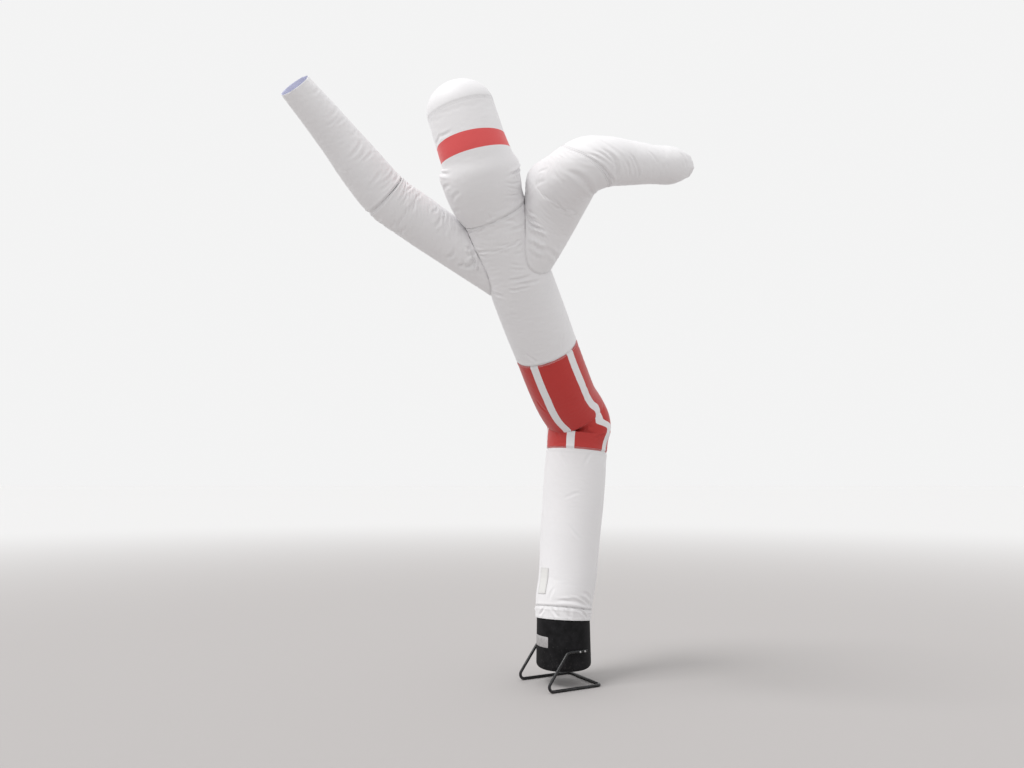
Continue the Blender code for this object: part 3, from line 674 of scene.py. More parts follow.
def blow_up(grid, cut, cap, seed, held=(True, True)):
    # Blender's cloth with air pressure inside it. The cut is the cloth's own size, a little
    # too wide for the seams that hold its ends, so it puckers along them as a sewn tube does
    rows, sides = grid.shape[:2]
    chance = np.random.default_rng(seed)
    noise = chance.normal(size=(rows, sides))
    noise = (noise + np.roll(noise, 1, axis=1) + np.roll(noise, -1, axis=1)) / 3.0
    start = grid + grid_normals(grid) * (noise * START_NOISE)[:, :, None]
    mesh = bpy.data.meshes.new("air_test")
    mesh.from_pydata(start.reshape(-1, 3).tolist(), [], grid_faces(rows, sides).tolist())
    tube = put_in_scene("air_test", mesh)
    tube.shape_key_add(name="start")
    rest = tube.shape_key_add(name="cut")
    rest.data.foreach_set("co", cut.ravel())
    seams = tube.vertex_groups.new(name="seams")
    ends = (range(sides), range((rows - 1) * sides, rows * sides))
    for end, is_held in zip(ends, held):
        if is_held:
            seams.add(list(end), 1.0, "REPLACE")
    air = tube.modifiers.new("air", "CLOTH")
    cloth = air.settings
    cloth.quality = 4
    cloth.mass = 0.12
    cloth.tension_stiffness = cloth.compression_stiffness = 25.0
    cloth.shear_stiffness = 12.0
    cloth.bending_stiffness = 0.02
    cloth.bending_damping = 0.4
    cloth.air_damping = 4.0
    cloth.use_pressure = True
    cloth.uniform_pressure_force = AIR_PRESSURE
    cloth.rest_shape_key = rest
    cloth.shrink_min = -SLACK_ALONG
    cloth.vertex_group_mass = "seams"
    cloth.effector_weights.gravity = 0.0
    air.collision_settings.use_collision = False
    scene = bpy.context.scene
    for step in range(1, AIR_STEPS + 1):
        scene.frame_set(step)
    settled = tube.evaluated_get(bpy.context.evaluated_depsgraph_get()).to_mesh()
    moved = np.empty(rows * sides * 3)
    settled.vertices.foreach_get("co", moved)
    bpy.data.objects.remove(tube, do_unlink=True)
    scene.frame_set(1)
    shift = moved.reshape(rows, sides, 3) - grid
    far = np.maximum(np.linalg.norm(shift, axis=2, keepdims=True), 1e-9)
    return grid + shift * (cap * np.tanh(far / cap) / far)


def finer(grid):
    # Halves the grid's squares on smooth curves, round the tube and then along it
    between = (9.0 * (grid + np.roll(grid, -1, axis=1)) - np.roll(grid, 1, axis=1)
               - np.roll(grid, -2, axis=1)) / 16.0
    wide = np.stack([grid, between], axis=2).reshape(grid.shape[0], -1, 3)
    ends = np.concatenate([2 * wide[:1] - wide[1:2], wide, 2 * wide[-1:] - wide[-2:-1]])
    middle = (9.0 * (ends[1:-2] + ends[2:-1]) - ends[:-3] - ends[3:]) / 16.0
    fine = np.empty((2 * grid.shape[0] - 1, wide.shape[1], 3))
    fine[0::2] = wide
    fine[1::2] = middle
    return fine


def seam_fold(distance):
    # Across a seam: a valley where the edges meet, and the felled edge's ridge beside it
    valley, ridge = (depth * np.exp(-((distance - place) / width) ** 2)
                     for depth, width, place in (SEAM_VALLEY, SEAM_RIDGE))
    return ridge - valley


def press_creases(grid, creases):
    # Presses creases into a tube: sharp troughs with a soft rise at each side, or ridges
    # where the depth is below zero. They fade out at their ends and bow a little
    steps = np.linalg.norm(np.diff(grid, axis=0), axis=2).mean(axis=1)
    along = np.concatenate([[0.0], np.cumsum(steps)])[:, None]
    degree = np.linalg.norm(np.roll(grid, -1, axis=1) - grid, axis=2).sum(axis=1)[:, None] / 360.0
    degrees = (np.arange(grid.shape[1]) * 360.0 / grid.shape[1])[None, :]
    lift = np.zeros(grid.shape[:2])
    for start, first, end, last, depth, width in np.array(creases) / CREASE_UNITS:
        round_it = ((degrees - 0.5 * (first + last) + 180.0) % 360.0 - 180.0) * degree
        up = along - 0.5 * (start + end)
        half_round, half_up = 0.5 * (last - first) * degree, 0.5 * (end - start)
        half = np.sqrt(half_round ** 2 + half_up ** 2)
        share = (round_it * half_round + up * half_up) / half ** 2
        bow = CREASE_BOW * half * (1.0 - np.minimum(share ** 2, 1.0))
        far = np.abs((round_it * half_up - up * half_round) / half + bow) / width
        section = np.exp(-far ** 1.5) - 0.45 * np.exp(-((far - 2.0) / 0.9) ** 2)
        lift = lift - depth * np.exp(-np.minimum(share ** 4, 50.0)) * section
    return grid + grid_normals(grid) * lift[:, :, None]


def make_cloth(name, grid, at, girth, finish, seams):
    # The mesh of a tube of cloth, with its seams' valleys and two maps in metres: "cloth"
    # runs round and along the cut, and "seams" holds the distances from its two ends
    rows, sides = grid.shape[:2]
    from_foot = (at - at[0])[:, None]
    from_top = (at[-1] - at)[:, None]
    lift = np.zeros((rows, 1))
    for sewn, distance in zip(seams, (from_foot, from_top)):
        lift = lift + sewn * seam_fold(distance)
    shape = grid + grid_normals(grid) * lift[:, :, None]
    mesh = bpy.data.meshes.new(name)
    mesh.from_pydata(shape.reshape(-1, 3).tolist(), [], grid_faces(rows, sides).tolist())
    row_of = np.repeat(np.arange(rows - 1), sides)
    column_of = np.tile(np.arange(sides), rows - 1)
    loop_rows = np.stack([row_of, row_of, row_of + 1, row_of + 1], axis=1).ravel()
    loop_columns = np.stack([column_of, column_of + 1, column_of + 1, column_of], axis=1).ravel()
    cloth_map = np.stack([loop_columns * girth / sides, at[loop_rows] - at[0]], axis=1)
    seam_map = np.stack([at[loop_rows] - at[0], at[-1] - at[loop_rows]], axis=1)
    for map_name, values in (("cloth", cloth_map), ("seams", seam_map)):
        layer = mesh.uv_layers.new(name=map_name)
        layer.data.foreach_set("uv", values.ravel())
    mesh.shade_smooth()
    mesh.materials.append(finish)
    piece = put_in_scene(name, mesh)
    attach(piece, "root")
    return piece


def cloth_finish(name, colour=WHITE, bands=None):
    # Coated polyester: a fine ripstop grid, small crinkles, and two rows of stitches a seam, with painted
    # shade darkening the stitches' needle holes
    finish, tree, shader = new_material(name, 0.52, Specular_IOR_Level=0.35, Sheen_Weight=0.2,
                                        Sheen_Roughness=0.45)
    cloth_place = add_node(tree, "UVMap", uv_map="cloth").outputs["UV"]
    seam_place = add_node(tree, "UVMap", uv_map="seams").outputs["UV"]
    shade = add_range(tree, add_noise(tree, scale=2.2, detail=4.0), 0.3, 0.7, 0.965, 1.0)
    base = colour if bands is None else bands(tree, cloth_place)
    toned = mix_colours(tree, 1.0, base, shade, "MULTIPLY")

    # Stitches: short dips along each end, at two distances from the seam, whose colour is painted darker as
    # shade in their needle holes
    across = add_node(tree, "SeparateXYZ", {"Vector": cloth_place}).outputs["X"]
    from_ends = add_node(tree, "SeparateXYZ", {"Vector": seam_place}).outputs
    lines = 0.0
    for end in ("X", "Y"):
        for place in STITCH_ROWS:
            line = add_math(tree, "COMPARE", from_ends[end], place, STITCH_WIDTH)
            lines = add_math(tree, "MAXIMUM", lines, line)
    dashes = add_math(tree, "GREATER_THAN", add_math(tree, "PINGPONG", across, STITCH_LENGTH), STITCH_GAP)
    stitches_and_hole_shade = add_math(tree, "MULTIPLY", lines, dashes)

    crinkles = add_noise(tree, scale=11.0, detail=3.0, roughness=0.55, noise_type="RIDGED_MULTIFRACTAL")
    threads = add_node(tree, "TexBrick", {"Vector": cloth_place, "Scale": 1.0, "Mortar Smooth": 0.6,
                                          "Mortar Size": RIPSTOP_THREAD, "Brick Width": RIPSTOP_STEP,
                                          "Row Height": RIPSTOP_STEP},
                       offset=0.0, offset_frequency=1, squash=1.0, squash_frequency=1).outputs["Fac"]
    relief = add_bump(tree, crinkles, strength=0.35, distance=0.004)
    relief = add_bump(tree, threads, strength=0.25, distance=0.0004, below=relief)
    relief = add_bump(tree, stitches_and_hole_shade, strength=0.6, distance=0.001, below=relief, invert=True)
    # The stitches' colour is painted shade for their needle holes, over the cloth's own tone
    wire(tree, shader, Base_Color=mix_colours(tree, stitches_and_hole_shade, toned, STITCH_HOLE_SHADE), Normal=relief)
    return finish


def tube_panel(name, first, last, finish, seed, creases, kept, after=None, top=1.0):
    # One sewn tube of the trunk: laid, blown up, creased and made. Kept is how much of the
    # air's push its foot and its top show, and top is how hard its upper seam is drawn in
    knots = places_of_rows(TRUNK_LINE)
    start, end = knots[first], knots[last]
    at = np.linspace(start, end, int(round((end - start) / CLOTH_STEP)) + 1)
    draw = 1.0 + (top - 1.0) * np.exp(-(end - at) / SEAM_REACH)[:, None]
    grid = lay_tube(TRUNK_LINE, at, TRUNK_SIDES, FRONT, SEAM_DIPS, SEAM_DRAW * draw)
    cut = lay_tube(TRUNK_LINE, at, TRUNK_SIDES, FRONT, SEAM_DIPS, CUT_EASE * draw)
    share = np.linspace(kept[0], kept[1], len(at))[:, None, None]
    grid = finer(grid + (blow_up(grid, cut, PUSH_LIMIT, seed) - grid) * share)
    at = np.linspace(start, end, grid.shape[0])
    grid = press_creases(grid, creases)
    if after is not None:
        grid = after(grid, at)
    girth = girth_of(TRUNK_LINE[first:last + 1])
    return make_cloth(name, grid, at, girth, finish, (1.0, top)), girth, end - start


white_cloth = cloth_finish("white_cloth")


def cuff_gathers(grid, at):
    # Uneven gathers that touch the drum in their troughs, above a hem of doubled cloth
    turn = turns_round(grid.shape[1])
    share = (at[-1] - at) / (at[-1] - at[0])
    wave = np.cos(CUFF_GATHERS * turn + 1.3 * np.sin(3.0 * turn))
    crisp = np.abs(np.sin(0.5 * (CUFF_PUCKERS * turn + 1.9 * np.sin(2.0 * turn + 0.6))))
    hem = CUFF_HEM_DEPTH / (1.0 + np.exp((at - at[0] - CUFF_HEM) / CUFF_HEM_EDGE))
    lift = (CUFF_GATHER_DEPTH * (1.0 - 0.6 * share[:, None]) * wave + CUFF_PUCKER_DEPTH * (crisp - 0.6)
            + hem[:, None])
    return grid + grid_normals(grid) * lift[:, :, None]


cuff_knots = places_of_rows(TRUNK_LINE)
cuff_at = np.linspace(cuff_knots[0], cuff_knots[3], 33)
cuff_grid = lay_tube(TRUNK_LINE, cuff_at, 2 * TRUNK_SIDES, FRONT, SEAM_DIPS, -0.001)
cuff_grid = press_creases(cuff_gathers(cuff_grid, cuff_at), CUFF_CREASES)
sleeve_cuff = make_cloth("sleeve_cuff_cloth", cuff_grid, cuff_at, 2.0 * math.pi * CUFF_RADIUS,
                         white_cloth, (0.0, 1.0))
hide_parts("sleeve_cuff")

# Lower body
# The long white tube above the cuff, sewn to it by a seam that sits a little lower on the
# right. The air holds it nearly straight.
LOWER_CREASES = [
    (460, -74, 1300, -66, 3, 7), (50, -16, 34, 46, 8, 11), (90, 28, 34, 58, 8, 11),
    (75, 6, 50, 36, 6, 10), (60, 58, 20, 72, 6, 10), (140, 34, 90, 62, 5, 12),
    (60, -34, 150, -28, 3.5, 11), (1220, 12, 1330, 24, 4, 12), (1200, -22, 1320, -34, 4, 12),
    (600, 14, 700, -8, 2.2, 11), (920, -20, 980, 6, 2.2, 11), (300, 150, 460, 172, 3, 12),
    (840, 196, 980, 170, 3, 12),
]
lower_body, girth, length = tube_panel("lower_body_cloth", 3, 10, white_cloth, 3, LOWER_CREASES,
                                       (0.03, 0.40))
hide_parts("lower_body")

# Body patch
# A thin blank patch of clear coated cloth, sewn flat on the lower body at the left, with a
# row of stitches near its edge.
PATCH_FOOT, PATCH_TOP = 0.100, 0.325
PATCH_FIRST, PATCH_LAST = -69.0, -45.0
PATCH_LIFT = 0.0034
PATCH_SHEET = 0.0012
PATCH_WHITE = (0.72, 0.715, 0.70, 1.0)
patch_rows, patch_columns = 68, 30
patch_ups = np.linspace(PATCH_FOOT, PATCH_TOP, patch_rows)
patch_turns = np.linspace(PATCH_FIRST, PATCH_LAST, patch_columns)
under = np.array([vertex.co[:] for vertex in lower_body.data.vertices]).reshape(-1, 2 * TRUNK_SIDES, 3)
under = under + grid_normals(under) * PATCH_LIFT
# The patch's points lie between the rows and the columns of the cloth under it
row_place = patch_ups[:, None] / length * (len(under) - 1)
column_place = (patch_turns[None, :] % 360.0) * under.shape[1] / 360.0
row_low, column_low = row_place.astype(int), column_place.astype(int)
up_share = (row_place - row_low)[:, :, None]
round_share = (column_place - column_low)[:, :, None]
patch_points = ((under[row_low, column_low] * (1.0 - up_share)
                 + under[row_low + 1, column_low] * up_share) * (1.0 - round_share)
                + (under[row_low, column_low + 1] * (1.0 - up_share)
                   + under[row_low + 1, column_low + 1] * up_share) * round_share).reshape(-1, 3)
patch_wide = girth * (PATCH_LAST - PATCH_FIRST) / 360.0
patch_faces = [(row * patch_columns + column, row * patch_columns + column + 1,
                (row + 1) * patch_columns + column + 1, (row + 1) * patch_columns + column)
               for row in range(patch_rows - 1) for column in range(patch_columns - 1)]
patch_mesh = bpy.data.meshes.new("patch_cloth")
patch_mesh.from_pydata(patch_points.tolist(), [], patch_faces)
patch_map = patch_mesh.uv_layers.new(name="cloth")
patch_edge = patch_mesh.uv_layers.new(name="seams")
for loop in patch_mesh.loops:
    row, column = divmod(loop.vertex_index, patch_columns)
    up, across = patch_ups[row] - PATCH_FOOT, patch_wide * column / (patch_columns - 1)
    patch_map.data[loop.index].uv = (across, up)
    edge_up, edge_across = min(up, PATCH_TOP - PATCH_FOOT - up), min(across, patch_wide - across)
    patch_edge.data[loop.index].uv = (edge_up, edge_across)
patch_mesh.shade_smooth()
patch_mesh.materials.append(cloth_finish("patch_cloth", colour=PATCH_WHITE))
patch = put_in_scene("patch_cloth", patch_mesh)
bpy.ops.object.select_all(action="DESELECT")
bpy.context.view_layer.objects.active = patch
apply_modifier(patch, "SOLIDIFY", thickness=PATCH_SHEET, offset=1.0)
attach(patch, "root")
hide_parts("body_patch")

# Striped body
# The printed tube where the figure folds over: wide red stripes on white, with the cloth
# bulging above the crease.
RED = (0.50, 0.035, 0.030, 1.0)
STRIPES_ROUND = 5
STRIPE_SHARE = 0.785
STRIPED_RADIUS = 0.2735
# The stripes' turn from the front, above and below the crease, and the crease's place
STRIPES_TURN = (0.006, -0.058)
CREASE_ROW = 13


def printed_stripes(tree, cloth_place):
    # Red stripes that run the length of the panel, turned where the crease twists the cloth
    crease = places_of_rows(TRUNK_LINE)[CREASE_ROW] - places_of_rows(TRUNK_LINE)[10]
    parts = add_node(tree, "SeparateXYZ", {"Vector": cloth_place}).outputs
    twist = add_range(tree, parts["Y"], crease - 0.03, crease + 0.03, STRIPES_TURN[1], STRIPES_TURN[0],
                      interpolation_type="SMOOTHSTEP")
    turns = add_math(tree, "MULTIPLY_ADD", parts["X"], 1.0 / (2.0 * math.pi * STRIPED_RADIUS), twist)
    share = add_math(tree, "PINGPONG", add_math(tree, "MULTIPLY", turns, float(STRIPES_ROUND)), 0.5)
    return mix_colours(tree, add_math(tree, "LESS_THAN", share, STRIPE_SHARE / 2), WHITE, RED)


striped_finish = cloth_finish("striped_cloth", bands=printed_stripes)
STRIPED_CREASES = [
    (256, -80, 244, -60, 6, 10), (100, 30, 180, 46, 5, 12), (80, -36, 190, -50, 5, 12),
    (700, -52, 800, -66, 5, 12), (660, 26, 780, 40, 5, 12), (1080, -12, 1160, -24, 4.5, 12),
    (900, 160, 1020, 184, 5, 13),
]
striped_body, girth, length = tube_panel("striped_body_cloth", 10, 17, striped_finish, 5,
                                         STRIPED_CREASES, (0.7, 0.8))
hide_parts("striped_body")

# Upper body and arms
# The white tube at chest height, with an arm sewn over a round armhole on each side. Each
# arm is two tapered tubes, sewn at the elbow and hemmed where the air leaves at the hand.
# x, y, z from the axis, radius
LEFT_ARM_LINE = [
    (-0.380, -0.690, 3.240, 0.182),
    (-0.660, -0.783, 3.411, 0.189),
    (-0.895, -0.870, 3.548, 0.190),
    (-1.158, -1.000, 3.700, 0.194),
    (-1.401, -1.139, 3.848, 0.190),
    (-1.557, -1.260, 4.012, 0.178),
    (-1.699, -1.381, 4.176, 0.156),
    (-1.833, -1.509, 4.321, 0.138),
    (-1.967, -1.637, 4.459, 0.121),
]
RIGHT_ARM_LINE = [
    (-0.385, -0.800, 3.330, 0.205),
    (-0.288, -0.895, 3.500, 0.224),
    (-0.158, -1.010, 3.715, 0.230),
    (-0.060, -1.182, 3.862, 0.230),
    (0.018, -1.340, 3.934, 0.222),
    (0.125, -1.440, 3.964, 0.205),
    (0.248, -1.457, 3.976, 0.182),
    (0.398, -1.418, 3.985, 0.163),
    (0.575, -1.359, 3.998, 0.144),
    (0.790, -1.276, 4.022, 0.125),
    (0.832, -1.260, 4.028, 0.104),
]
UPWARD = np.array([0.0, 0.0, 1.0])
ARM_SIDES = 88
# Both arms' tables, padded with the trunk's fold columns, and the row of each elbow's seam
ARMS = {side: ([row + (0.0, 0.0, 0.0) for row in rows], elbow) for side, rows, elbow in
        (("left", LEFT_ARM_LINE, 4), ("right", RIGHT_ARM_LINE, 5))}
# The right arm's outer side stands out where it starts to bend
ARMS["right"][0][3] = RIGHT_ARM_LINE[3] + (38.0, -0.070, 0.0)
# How far the elbow's seam leans and the open end's rim leans, in metres along the arm
ELBOW_SLANT = {"left": 0.0, "right": 0.125}
MOUTH_SLANT = {"left": (0.016, 0.0), "right": (0.032, 0.026)}
# How hard the seams of each arm draw the cloth in: at the armhole and at the elbow
ARM_SEAMS = {"left": (0.4, 1.7), "right": (0.5, 0.45)}
FACING_ROWS = 26
HEM_FLUTTER = 0.0025
CLOTH_SHEET = 0.0022
ARM_PUSH_LIMITS = (0.014, 0.012)
# How deep in the trunk an arm's seam lies, and the part of the trunk that is tried for it
ARMHOLE_DEPTH = 0.004
TRUNK_FROM = 2.2
ARMHOLE_DRAW = 0.045
ARMHOLE_VALLEY = (0.003, 0.012)
# Painted light for the inner face at the open ends: a shaded and a lit bluish tint, and a faint emitted
# glow
INSIDE_SHADE = (0.44, 0.45, 0.60, 1.0)
INSIDE_LIT = (0.66, 0.67, 0.82, 1.0)
INSIDE_PAINTED_GLOW = (0.72, 0.74, 0.92, 1.0)
UPPER_ARM_CREASES = {"left": [
    (390, -80, 499, -110, 4.5, 11), (302, -59, 363, -82, 3.7, 10), (438, -106, 485, -119, 3.7, 10),
    (62, -108, 248, -151, 14.4, 13), (215, -133, 275, -155, 8, 10), (75, -114, 148, -137, 9.6, 10),
    (68, -119, 90, -135, 8, 10), (295, -125, 377, -153, 9.6, 11), (41, -94, 128, -106, 8, 10),
    (41, -102, 162, -117, 9.6, 10), (629, -51, 702, -76, 3.7, 11), (755, -45, 822, -74, 4.5, 11),
    (397, -59, 513, -84, 3, 10), (880, -60, 885, -120, -3, 12),
], "right": [
    (202, 104, 282, 121, -10.8, 10), (117, 104, 238, 133, -14.4, 11), (75, 106, 216, 143, -16.2, 12),
    (48, 117, 159, 153, -14.4, 11), (48, 125, 109, 158, -10.8, 10), (742, 118, 742, 165, 12, 12),
    (742, 160, 695, 212, 11, 12), (555, 143, 461, 174, 4.8, 10), (481, 78, 592, 90, 3.6, 11),
    (428, 92, 585, 106, 3.6, 11), (152, 155, 82, 217, 7.2, 11),
]}
FORE_ARM_CREASES = {"left": [
    (631, -74, 631, -112, 3.6, 10), (660, -90, 664, -133, 3.6, 10), (700, -72, 700, -100, 3, 10),
    (428, -78, 387, -135, 4.2, 11), (319, -70, 313, -114, 3.6, 10), (352, -90, 340, -127, 3.6, 10),
    (103, -59, 100, -112, 4.8, 11), (70, -82, 70, -123, 3.6, 10), (170, -98, 143, -137, 4.8, 11),
    (60, -40, 45, -84, 3.6, 10), (881, -60, 895, -110, 3, 10), (500, -60, 508, -92, 2.4, 10),
], "right": [
    (34, 164, 14, 116, 10, 10), (105, 84, 106, 114, 10, 10), (104, 110, 60, 144, 9, 10),
    (66, 88, 85, 118, 7, 9), (24, 92, 42, 110, 6, 9), (227, 90, 248, 120, 6, 10),
    (248, 116, 248, 150, 6, 10), (164, 106, 164, 150, 5, 10), (140, 60, 155, 96, 4, 10),
    (60, 50, 50, 84, 5, 10), (400, 76, 430, 110, 4, 10), (660, 64, 680, 118, 6, 10),
]}
trunk_at = np.arange(TRUNK_FROM, places_of_rows(TRUNK_LINE)[-1], 0.01)
trunk_values = read_table(TRUNK_LINE, trunk_at)
trunk_ahead = unit(read_table(TRUNK_LINE, trunk_at + 0.02)[:, :3]
                   - read_table(TRUNK_LINE, trunk_at - 0.02)[:, :3])


def depth_in_trunk(points):
    # How deep points lie under the trunk's cloth, below zero outside it
    flat = points.reshape(-1, 3) - AXIS
    nearest = np.array([np.argmin(np.sum((trunk_values[:, :3] - point) ** 2, axis=1)) for point in flat])
    values, along = trunk_values[nearest], trunk_ahead[nearest]
    away = flat - values[:, :3]
    away = away - np.sum(away * along, axis=1)[:, None] * along
    far = np.linalg.norm(away, axis=1)
    front = unit(FRONT - (along @ FRONT)[:, None] * along)
    side = np.cross(along, front)
    degrees = np.degrees(np.arctan2(np.sum(away * side, axis=1), np.sum(away * front, axis=1)))
    from_fold = (degrees - values[:, 4] + 180.0) % 360.0 - 180.0
    radius = values[:, 3] - values[:, 5] * bell(from_fold, FOLD_SPREAD)
    return (radius - far).reshape(points.shape[:-1])


def leave_trunk(table, last):
    # How far along an arm each line round it comes out of the trunk's cloth
    fine_at = np.arange(0.0, places_of_rows(table)[last], 0.012)
    inside = depth_in_trunk(lay_tube(table, fine_at, ARM_SIDES, UPWARD, growth=SEAM_DRAW)) > ARMHOLE_DEPTH
    return fine_at[len(fine_at) - 1 - np.argmax(inside[::-1], axis=0)]


def lay_lines(table, starts, ends, ease):
    # An arm's tube whose hoops lean, so each line round it has its own start and end
    fine_at = np.arange(starts.min(), ends.max() + 0.012, 0.006)
    fine = lay_tube(table, fine_at, ARM_SIDES, UPWARD, growth=ease)
    rows = int(round((ends.mean() - starts.mean()) / CLOTH_STEP)) + 1
    grid = np.empty((rows, ARM_SIDES, 3))
    for column, (start, end) in enumerate(zip(starts, ends)):
        for axis in range(3):
            grid[:, column, axis] = np.interp(np.linspace(start, end, rows), fine_at,
                                              fine[:, column, axis])
    return grid


# The inner face's finish is painted light: lit and shaded bluish tints mottled by noise, and an emission
# glow, stand in for daylight through the thin cloth
inside_painted_light, lit_tree, lit_shader = new_material("cloth_inside_painted_light", 0.6, Emission_Strength=0.16,
                                               Emission_Color=INSIDE_PAINTED_GLOW)
inside_painted_light_clouds = add_noise(lit_tree, scale=30.0, detail=3.0)
wire(lit_tree, lit_shader, Base_Color=mix_colours(lit_tree, inside_painted_light_clouds, INSIDE_SHADE, INSIDE_LIT))
armholes = []
for side, (table, elbow) in ARMS.items():
    knots = places_of_rows(table)
    turn = turns_round(ARM_SIDES)
    starts = leave_trunk(table, elbow)
    elbows = knots[elbow] - ELBOW_SLANT[side] * np.cos(turn)
    mouths = knots[-1] + MOUTH_SLANT[side][0] * np.sin(turn) - MOUTH_SLANT[side][1] * np.cos(turn)
    grid = lay_lines(table, starts, elbows, SEAM_DRAW)
    cut = grid + grid_normals(grid) * (CUT_EASE - SEAM_DRAW)
    armholes.append(grid[0])
    grid = finer(blow_up(grid, cut, ARM_PUSH_LIMITS[0], seed=11 + len(armholes)))
    grid = press_creases(grid, UPPER_ARM_CREASES[side])
    length = float(elbows.mean() - starts.mean())
    girth = girth_of(table[1:elbow + 1])
    at = np.linspace(0.0, length, grid.shape[0])
    sleeve = make_cloth("arm_%s_upper_cloth" % side, grid, at, girth, white_cloth, ARM_SEAMS[side])
    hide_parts("arm_%s_upper" % side)

    grid = lay_lines(table, elbows, mouths, SEAM_DRAW)
    cut = lay_lines(table, elbows, mouths, CUT_EASE)
    grid = finer(blow_up(grid, cut, ARM_PUSH_LIMITS[1], seed=21 + len(armholes), held=(True, False)))
    grid = press_creases(grid, FORE_ARM_CREASES[side])
    # The open end flutters, and its hem is turned in
    turn = turns_round(grid.shape[1])
    at = np.linspace(knots[elbow], knots[-1], grid.shape[0])
    length = float(at[-1] - at[0])
    near_end = np.exp(-(at[-1] - at) / 0.05)[:, None]
    flutter = HEM_FLUTTER * near_end * (np.sin(7 * turn + 0.8 * np.sin(2 * turn)) + 0.5 * np.sin(13 * turn))
    grid = grid + grid_normals(grid) * flutter[:, :, None]
    # The inside of the mouth is seen, so the cloth's inner face runs back a little way
    outer_rows = grid.shape[0]
    inner = grid[:-FACING_ROWS:-1] - grid_normals(grid)[:-FACING_ROWS:-1] * CLOTH_SHEET
    grid = np.concatenate([grid, inner])
    at = np.concatenate([at, at[-1] + (at[-1] - at[:-FACING_ROWS:-1]) + 0.001])
    girth = girth_of(table[elbow:])
    sleeve = make_cloth("arm_%s_fore_cloth" % side, grid, at, girth, white_cloth,
                        (ARM_SEAMS[side][1], 0.0))
    # The turned-in rows take the painted-light finish
    sleeve.data.materials.append(inside_painted_light)
    for face in sleeve.data.polygons:
        if face.index >= outer_rows * ARM_SIDES * 2:
            face.material_index = 1
    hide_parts("arm_%s_fore" % side)


def near_armholes(grid):
    # The distance of each point of a tube from the nearest armhole's seam
    rims = np.concatenate(armholes)
    flat = grid.reshape(-1, 3)
    nearest = np.array([np.sqrt(np.min(np.sum((rims - point) ** 2, axis=1))) for point in flat])
    return nearest.reshape(grid.shape[:2])


def draw_to_armholes(grid, at):
    # The trunk's cloth is drawn to the armholes' seams, with a valley along them
    rims = near_armholes(grid)
    base = lay_tube(TRUNK_LINE, at, grid.shape[1], FRONT, SEAM_DIPS, SEAM_DRAW)
    hold = np.exp(-(rims / ARMHOLE_DRAW) ** 2)[:, :, None]
    valley = ARMHOLE_VALLEY[0] * np.exp(-(rims / ARMHOLE_VALLEY[1]) ** 2)
    return grid + (base - grid) * hold - grid_normals(grid) * valley[:, :, None]


UPPER_CREASES = [
    (1027, 34, 980, 11, 10.5, 11), (744, 16, 764, -22, 10.5, 11), (676, 27, 710, -8, 10.5, 11),
    (664, 10, 676, -12, 7.5, 10), (669, -11, 690, -29, 9, 10), (676, -76, 649, -47, 10.5, 11),
    (831, 14, 886, -12, 4.5, 10), (798, 13, 845, -13, 4.5, 10), (1226, -60, 1180, -86, 5, 11),
    (1021, -70, 1030, -46, 9, 10), (1000, -72, 994, -53, 7.5, 10), (1211, 3, 1176, 22, 7.5, 10),
    (1122, 47, 1129, 12, 9, 11), (946, 24, 940, 2, 7.5, 10), (880, -92, 845, -78, 9, 10),
    (1204, -88, 1109, -92, 9, 10), (60, 20, 160, 34, 6, 12), (40, -30, 130, -44, 6, 12),
    (340, 170, 420, 196, 7.5, 13), (760, 160, 780, 200, 7.5, 13),
]
upper_body, girth, length = tube_panel("upper_body_cloth", 17, 22, white_cloth, 7, UPPER_CREASES,
                                       (0.7, 0.9), after=draw_to_armholes)
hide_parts("upper_body")

# Head
# The top tube, folded back at the neck so that its front bulges over a deep crease with a
# pinched ear at each side. A plain red band is printed round it.
BAND_RED = (0.74, 0.095, 0.095, 1.0)
# How hard the seam under the crown draws the cloth in, where 1 is an ordinary seam
CROWN_DRAW = 0.12
BAND_MIDDLE = 0.540
BAND_HALF = 0.050
# The band hangs lower on the right, by twice this at its lowest place
BAND_DROP = 0.036
BAND_LOWEST = math.radians(145.0)
HEAD_CREASES = [
    (401, -132, 401, -60, 15, 12), (345, 124, 305, 46, 20, 12), (313, 52, 245, 56, 5.4, 10),
    (299, -78, 330, -56, 4.2, 10), (236, -62, 280, -41, 4.2, 10), (195, 62, 257, 30, 4.2, 10),
    (112, 60, 230, 29, 3, 10), (57, 52, 154, 22, 3, 10), (22, -21, 78, -19, 3.6, 10),
    (642, -30, 655, -58, 3.6, 11), (655, -55, 628, -76, 3.6, 11), (150, -80, 172, -52, 3, 10),
    (380, 150, 388, 212, 6, 14),
]


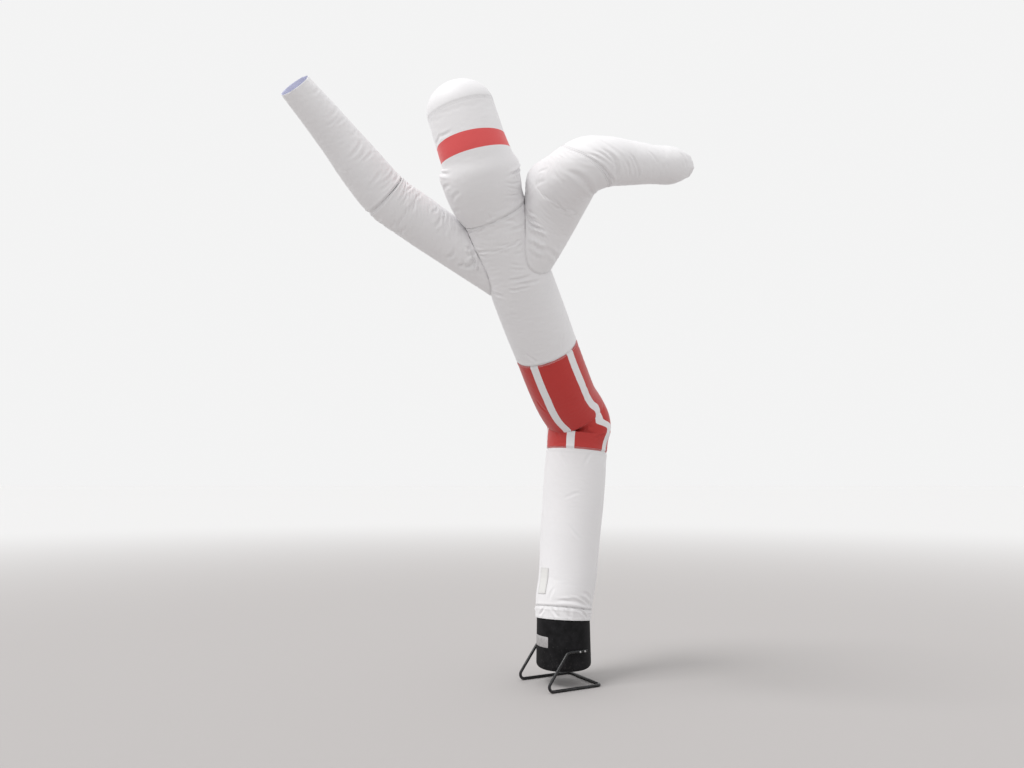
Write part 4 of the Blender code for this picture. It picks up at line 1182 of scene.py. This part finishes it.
def printed_band(tree, cloth_place):
    # A red band round the head, as a wave that is lowest on the right
    head_radius = float(np.mean([row[3] for row in TRUNK_LINE[22:]]))
    parts = add_node(tree, "SeparateXYZ", {"Vector": cloth_place}).outputs
    turn = add_math(tree, "MULTIPLY_ADD", parts["X"], 1.0 / head_radius, -BAND_LOWEST)
    level = add_math(tree, "MULTIPLY_ADD", add_math(tree, "COSINE", turn), BAND_DROP, parts["Y"])
    inside = add_math(tree, "COMPARE", level, BAND_MIDDLE - BAND_DROP, BAND_HALF)
    return mix_colours(tree, inside, WHITE, BAND_RED)


head_finish = cloth_finish("banded_cloth", bands=printed_band)
head, girth, length = tube_panel("head_cloth", 22, 29, head_finish, 9, HEAD_CREASES, (0.8, 0.12),
                                 top=CROWN_DRAW)
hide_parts("head")

# Crown
# The round top of the head: one disc of cloth, domed by the air and puckered along its seam.
CROWN_RISE = 0.218
CROWN_ROWS = 26
CROWN_ARC = 0.372
CROWN_CALM = 0.25
CROWN_PUSH_LIMIT = 0.010
# The rings of points end just short of the crown's pole, and the small hole there is closed
CROWN_LAST_RING = 0.985
CROWN_HOLE_EDGE = 0.004
crown_row = TRUNK_LINE[-1]
crown_along = unit(np.array(TRUNK_LINE[-1][:3]) - np.array(TRUNK_LINE[-2][:3]))


def lay_crown(ease):
    rise = 0.5 * math.pi * np.linspace(0.0, CROWN_LAST_RING, CROWN_ROWS)
    front = unit(FRONT - (crown_along @ FRONT) * crown_along)
    side = np.cross(crown_along, front)
    turn = turns_round(TRUNK_SIDES)
    spokes = np.cos(turn)[:, None] * front + np.sin(turn)[:, None] * side
    wide = (crown_row[3] + ease) * np.cos(rise)
    high = (CROWN_RISE + ease) * np.sin(rise)
    return (AXIS + np.array(crown_row[:3]) + spokes[None] * wide[:, None, None]
            + crown_along * high[:, None, None])


crown_laid = lay_crown(SEAM_DRAW * CROWN_DRAW)
crown_blown = blow_up(crown_laid, lay_crown(0.0), CROWN_PUSH_LIMIT, seed=15)
crown_grid = finer(crown_laid + (crown_blown - crown_laid) * CROWN_CALM)
crown_at = np.linspace(0.0, CROWN_ARC, crown_grid.shape[0])
crown = make_cloth("crown_cloth", crown_grid, crown_at, 2.0 * math.pi * crown_row[3], white_cloth,
                   (CROWN_DRAW, 0.0))
cap_edit = bmesh.new()
cap_edit.from_mesh(crown.data)
bmesh.ops.holes_fill(cap_edit, edges=[edge for edge in cap_edit.edges if edge.is_boundary
                                      and edge.calc_length() < CROWN_HOLE_EDGE])
cap_edit.to_mesh(crown.data)
cap_edit.free()
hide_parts("crown")
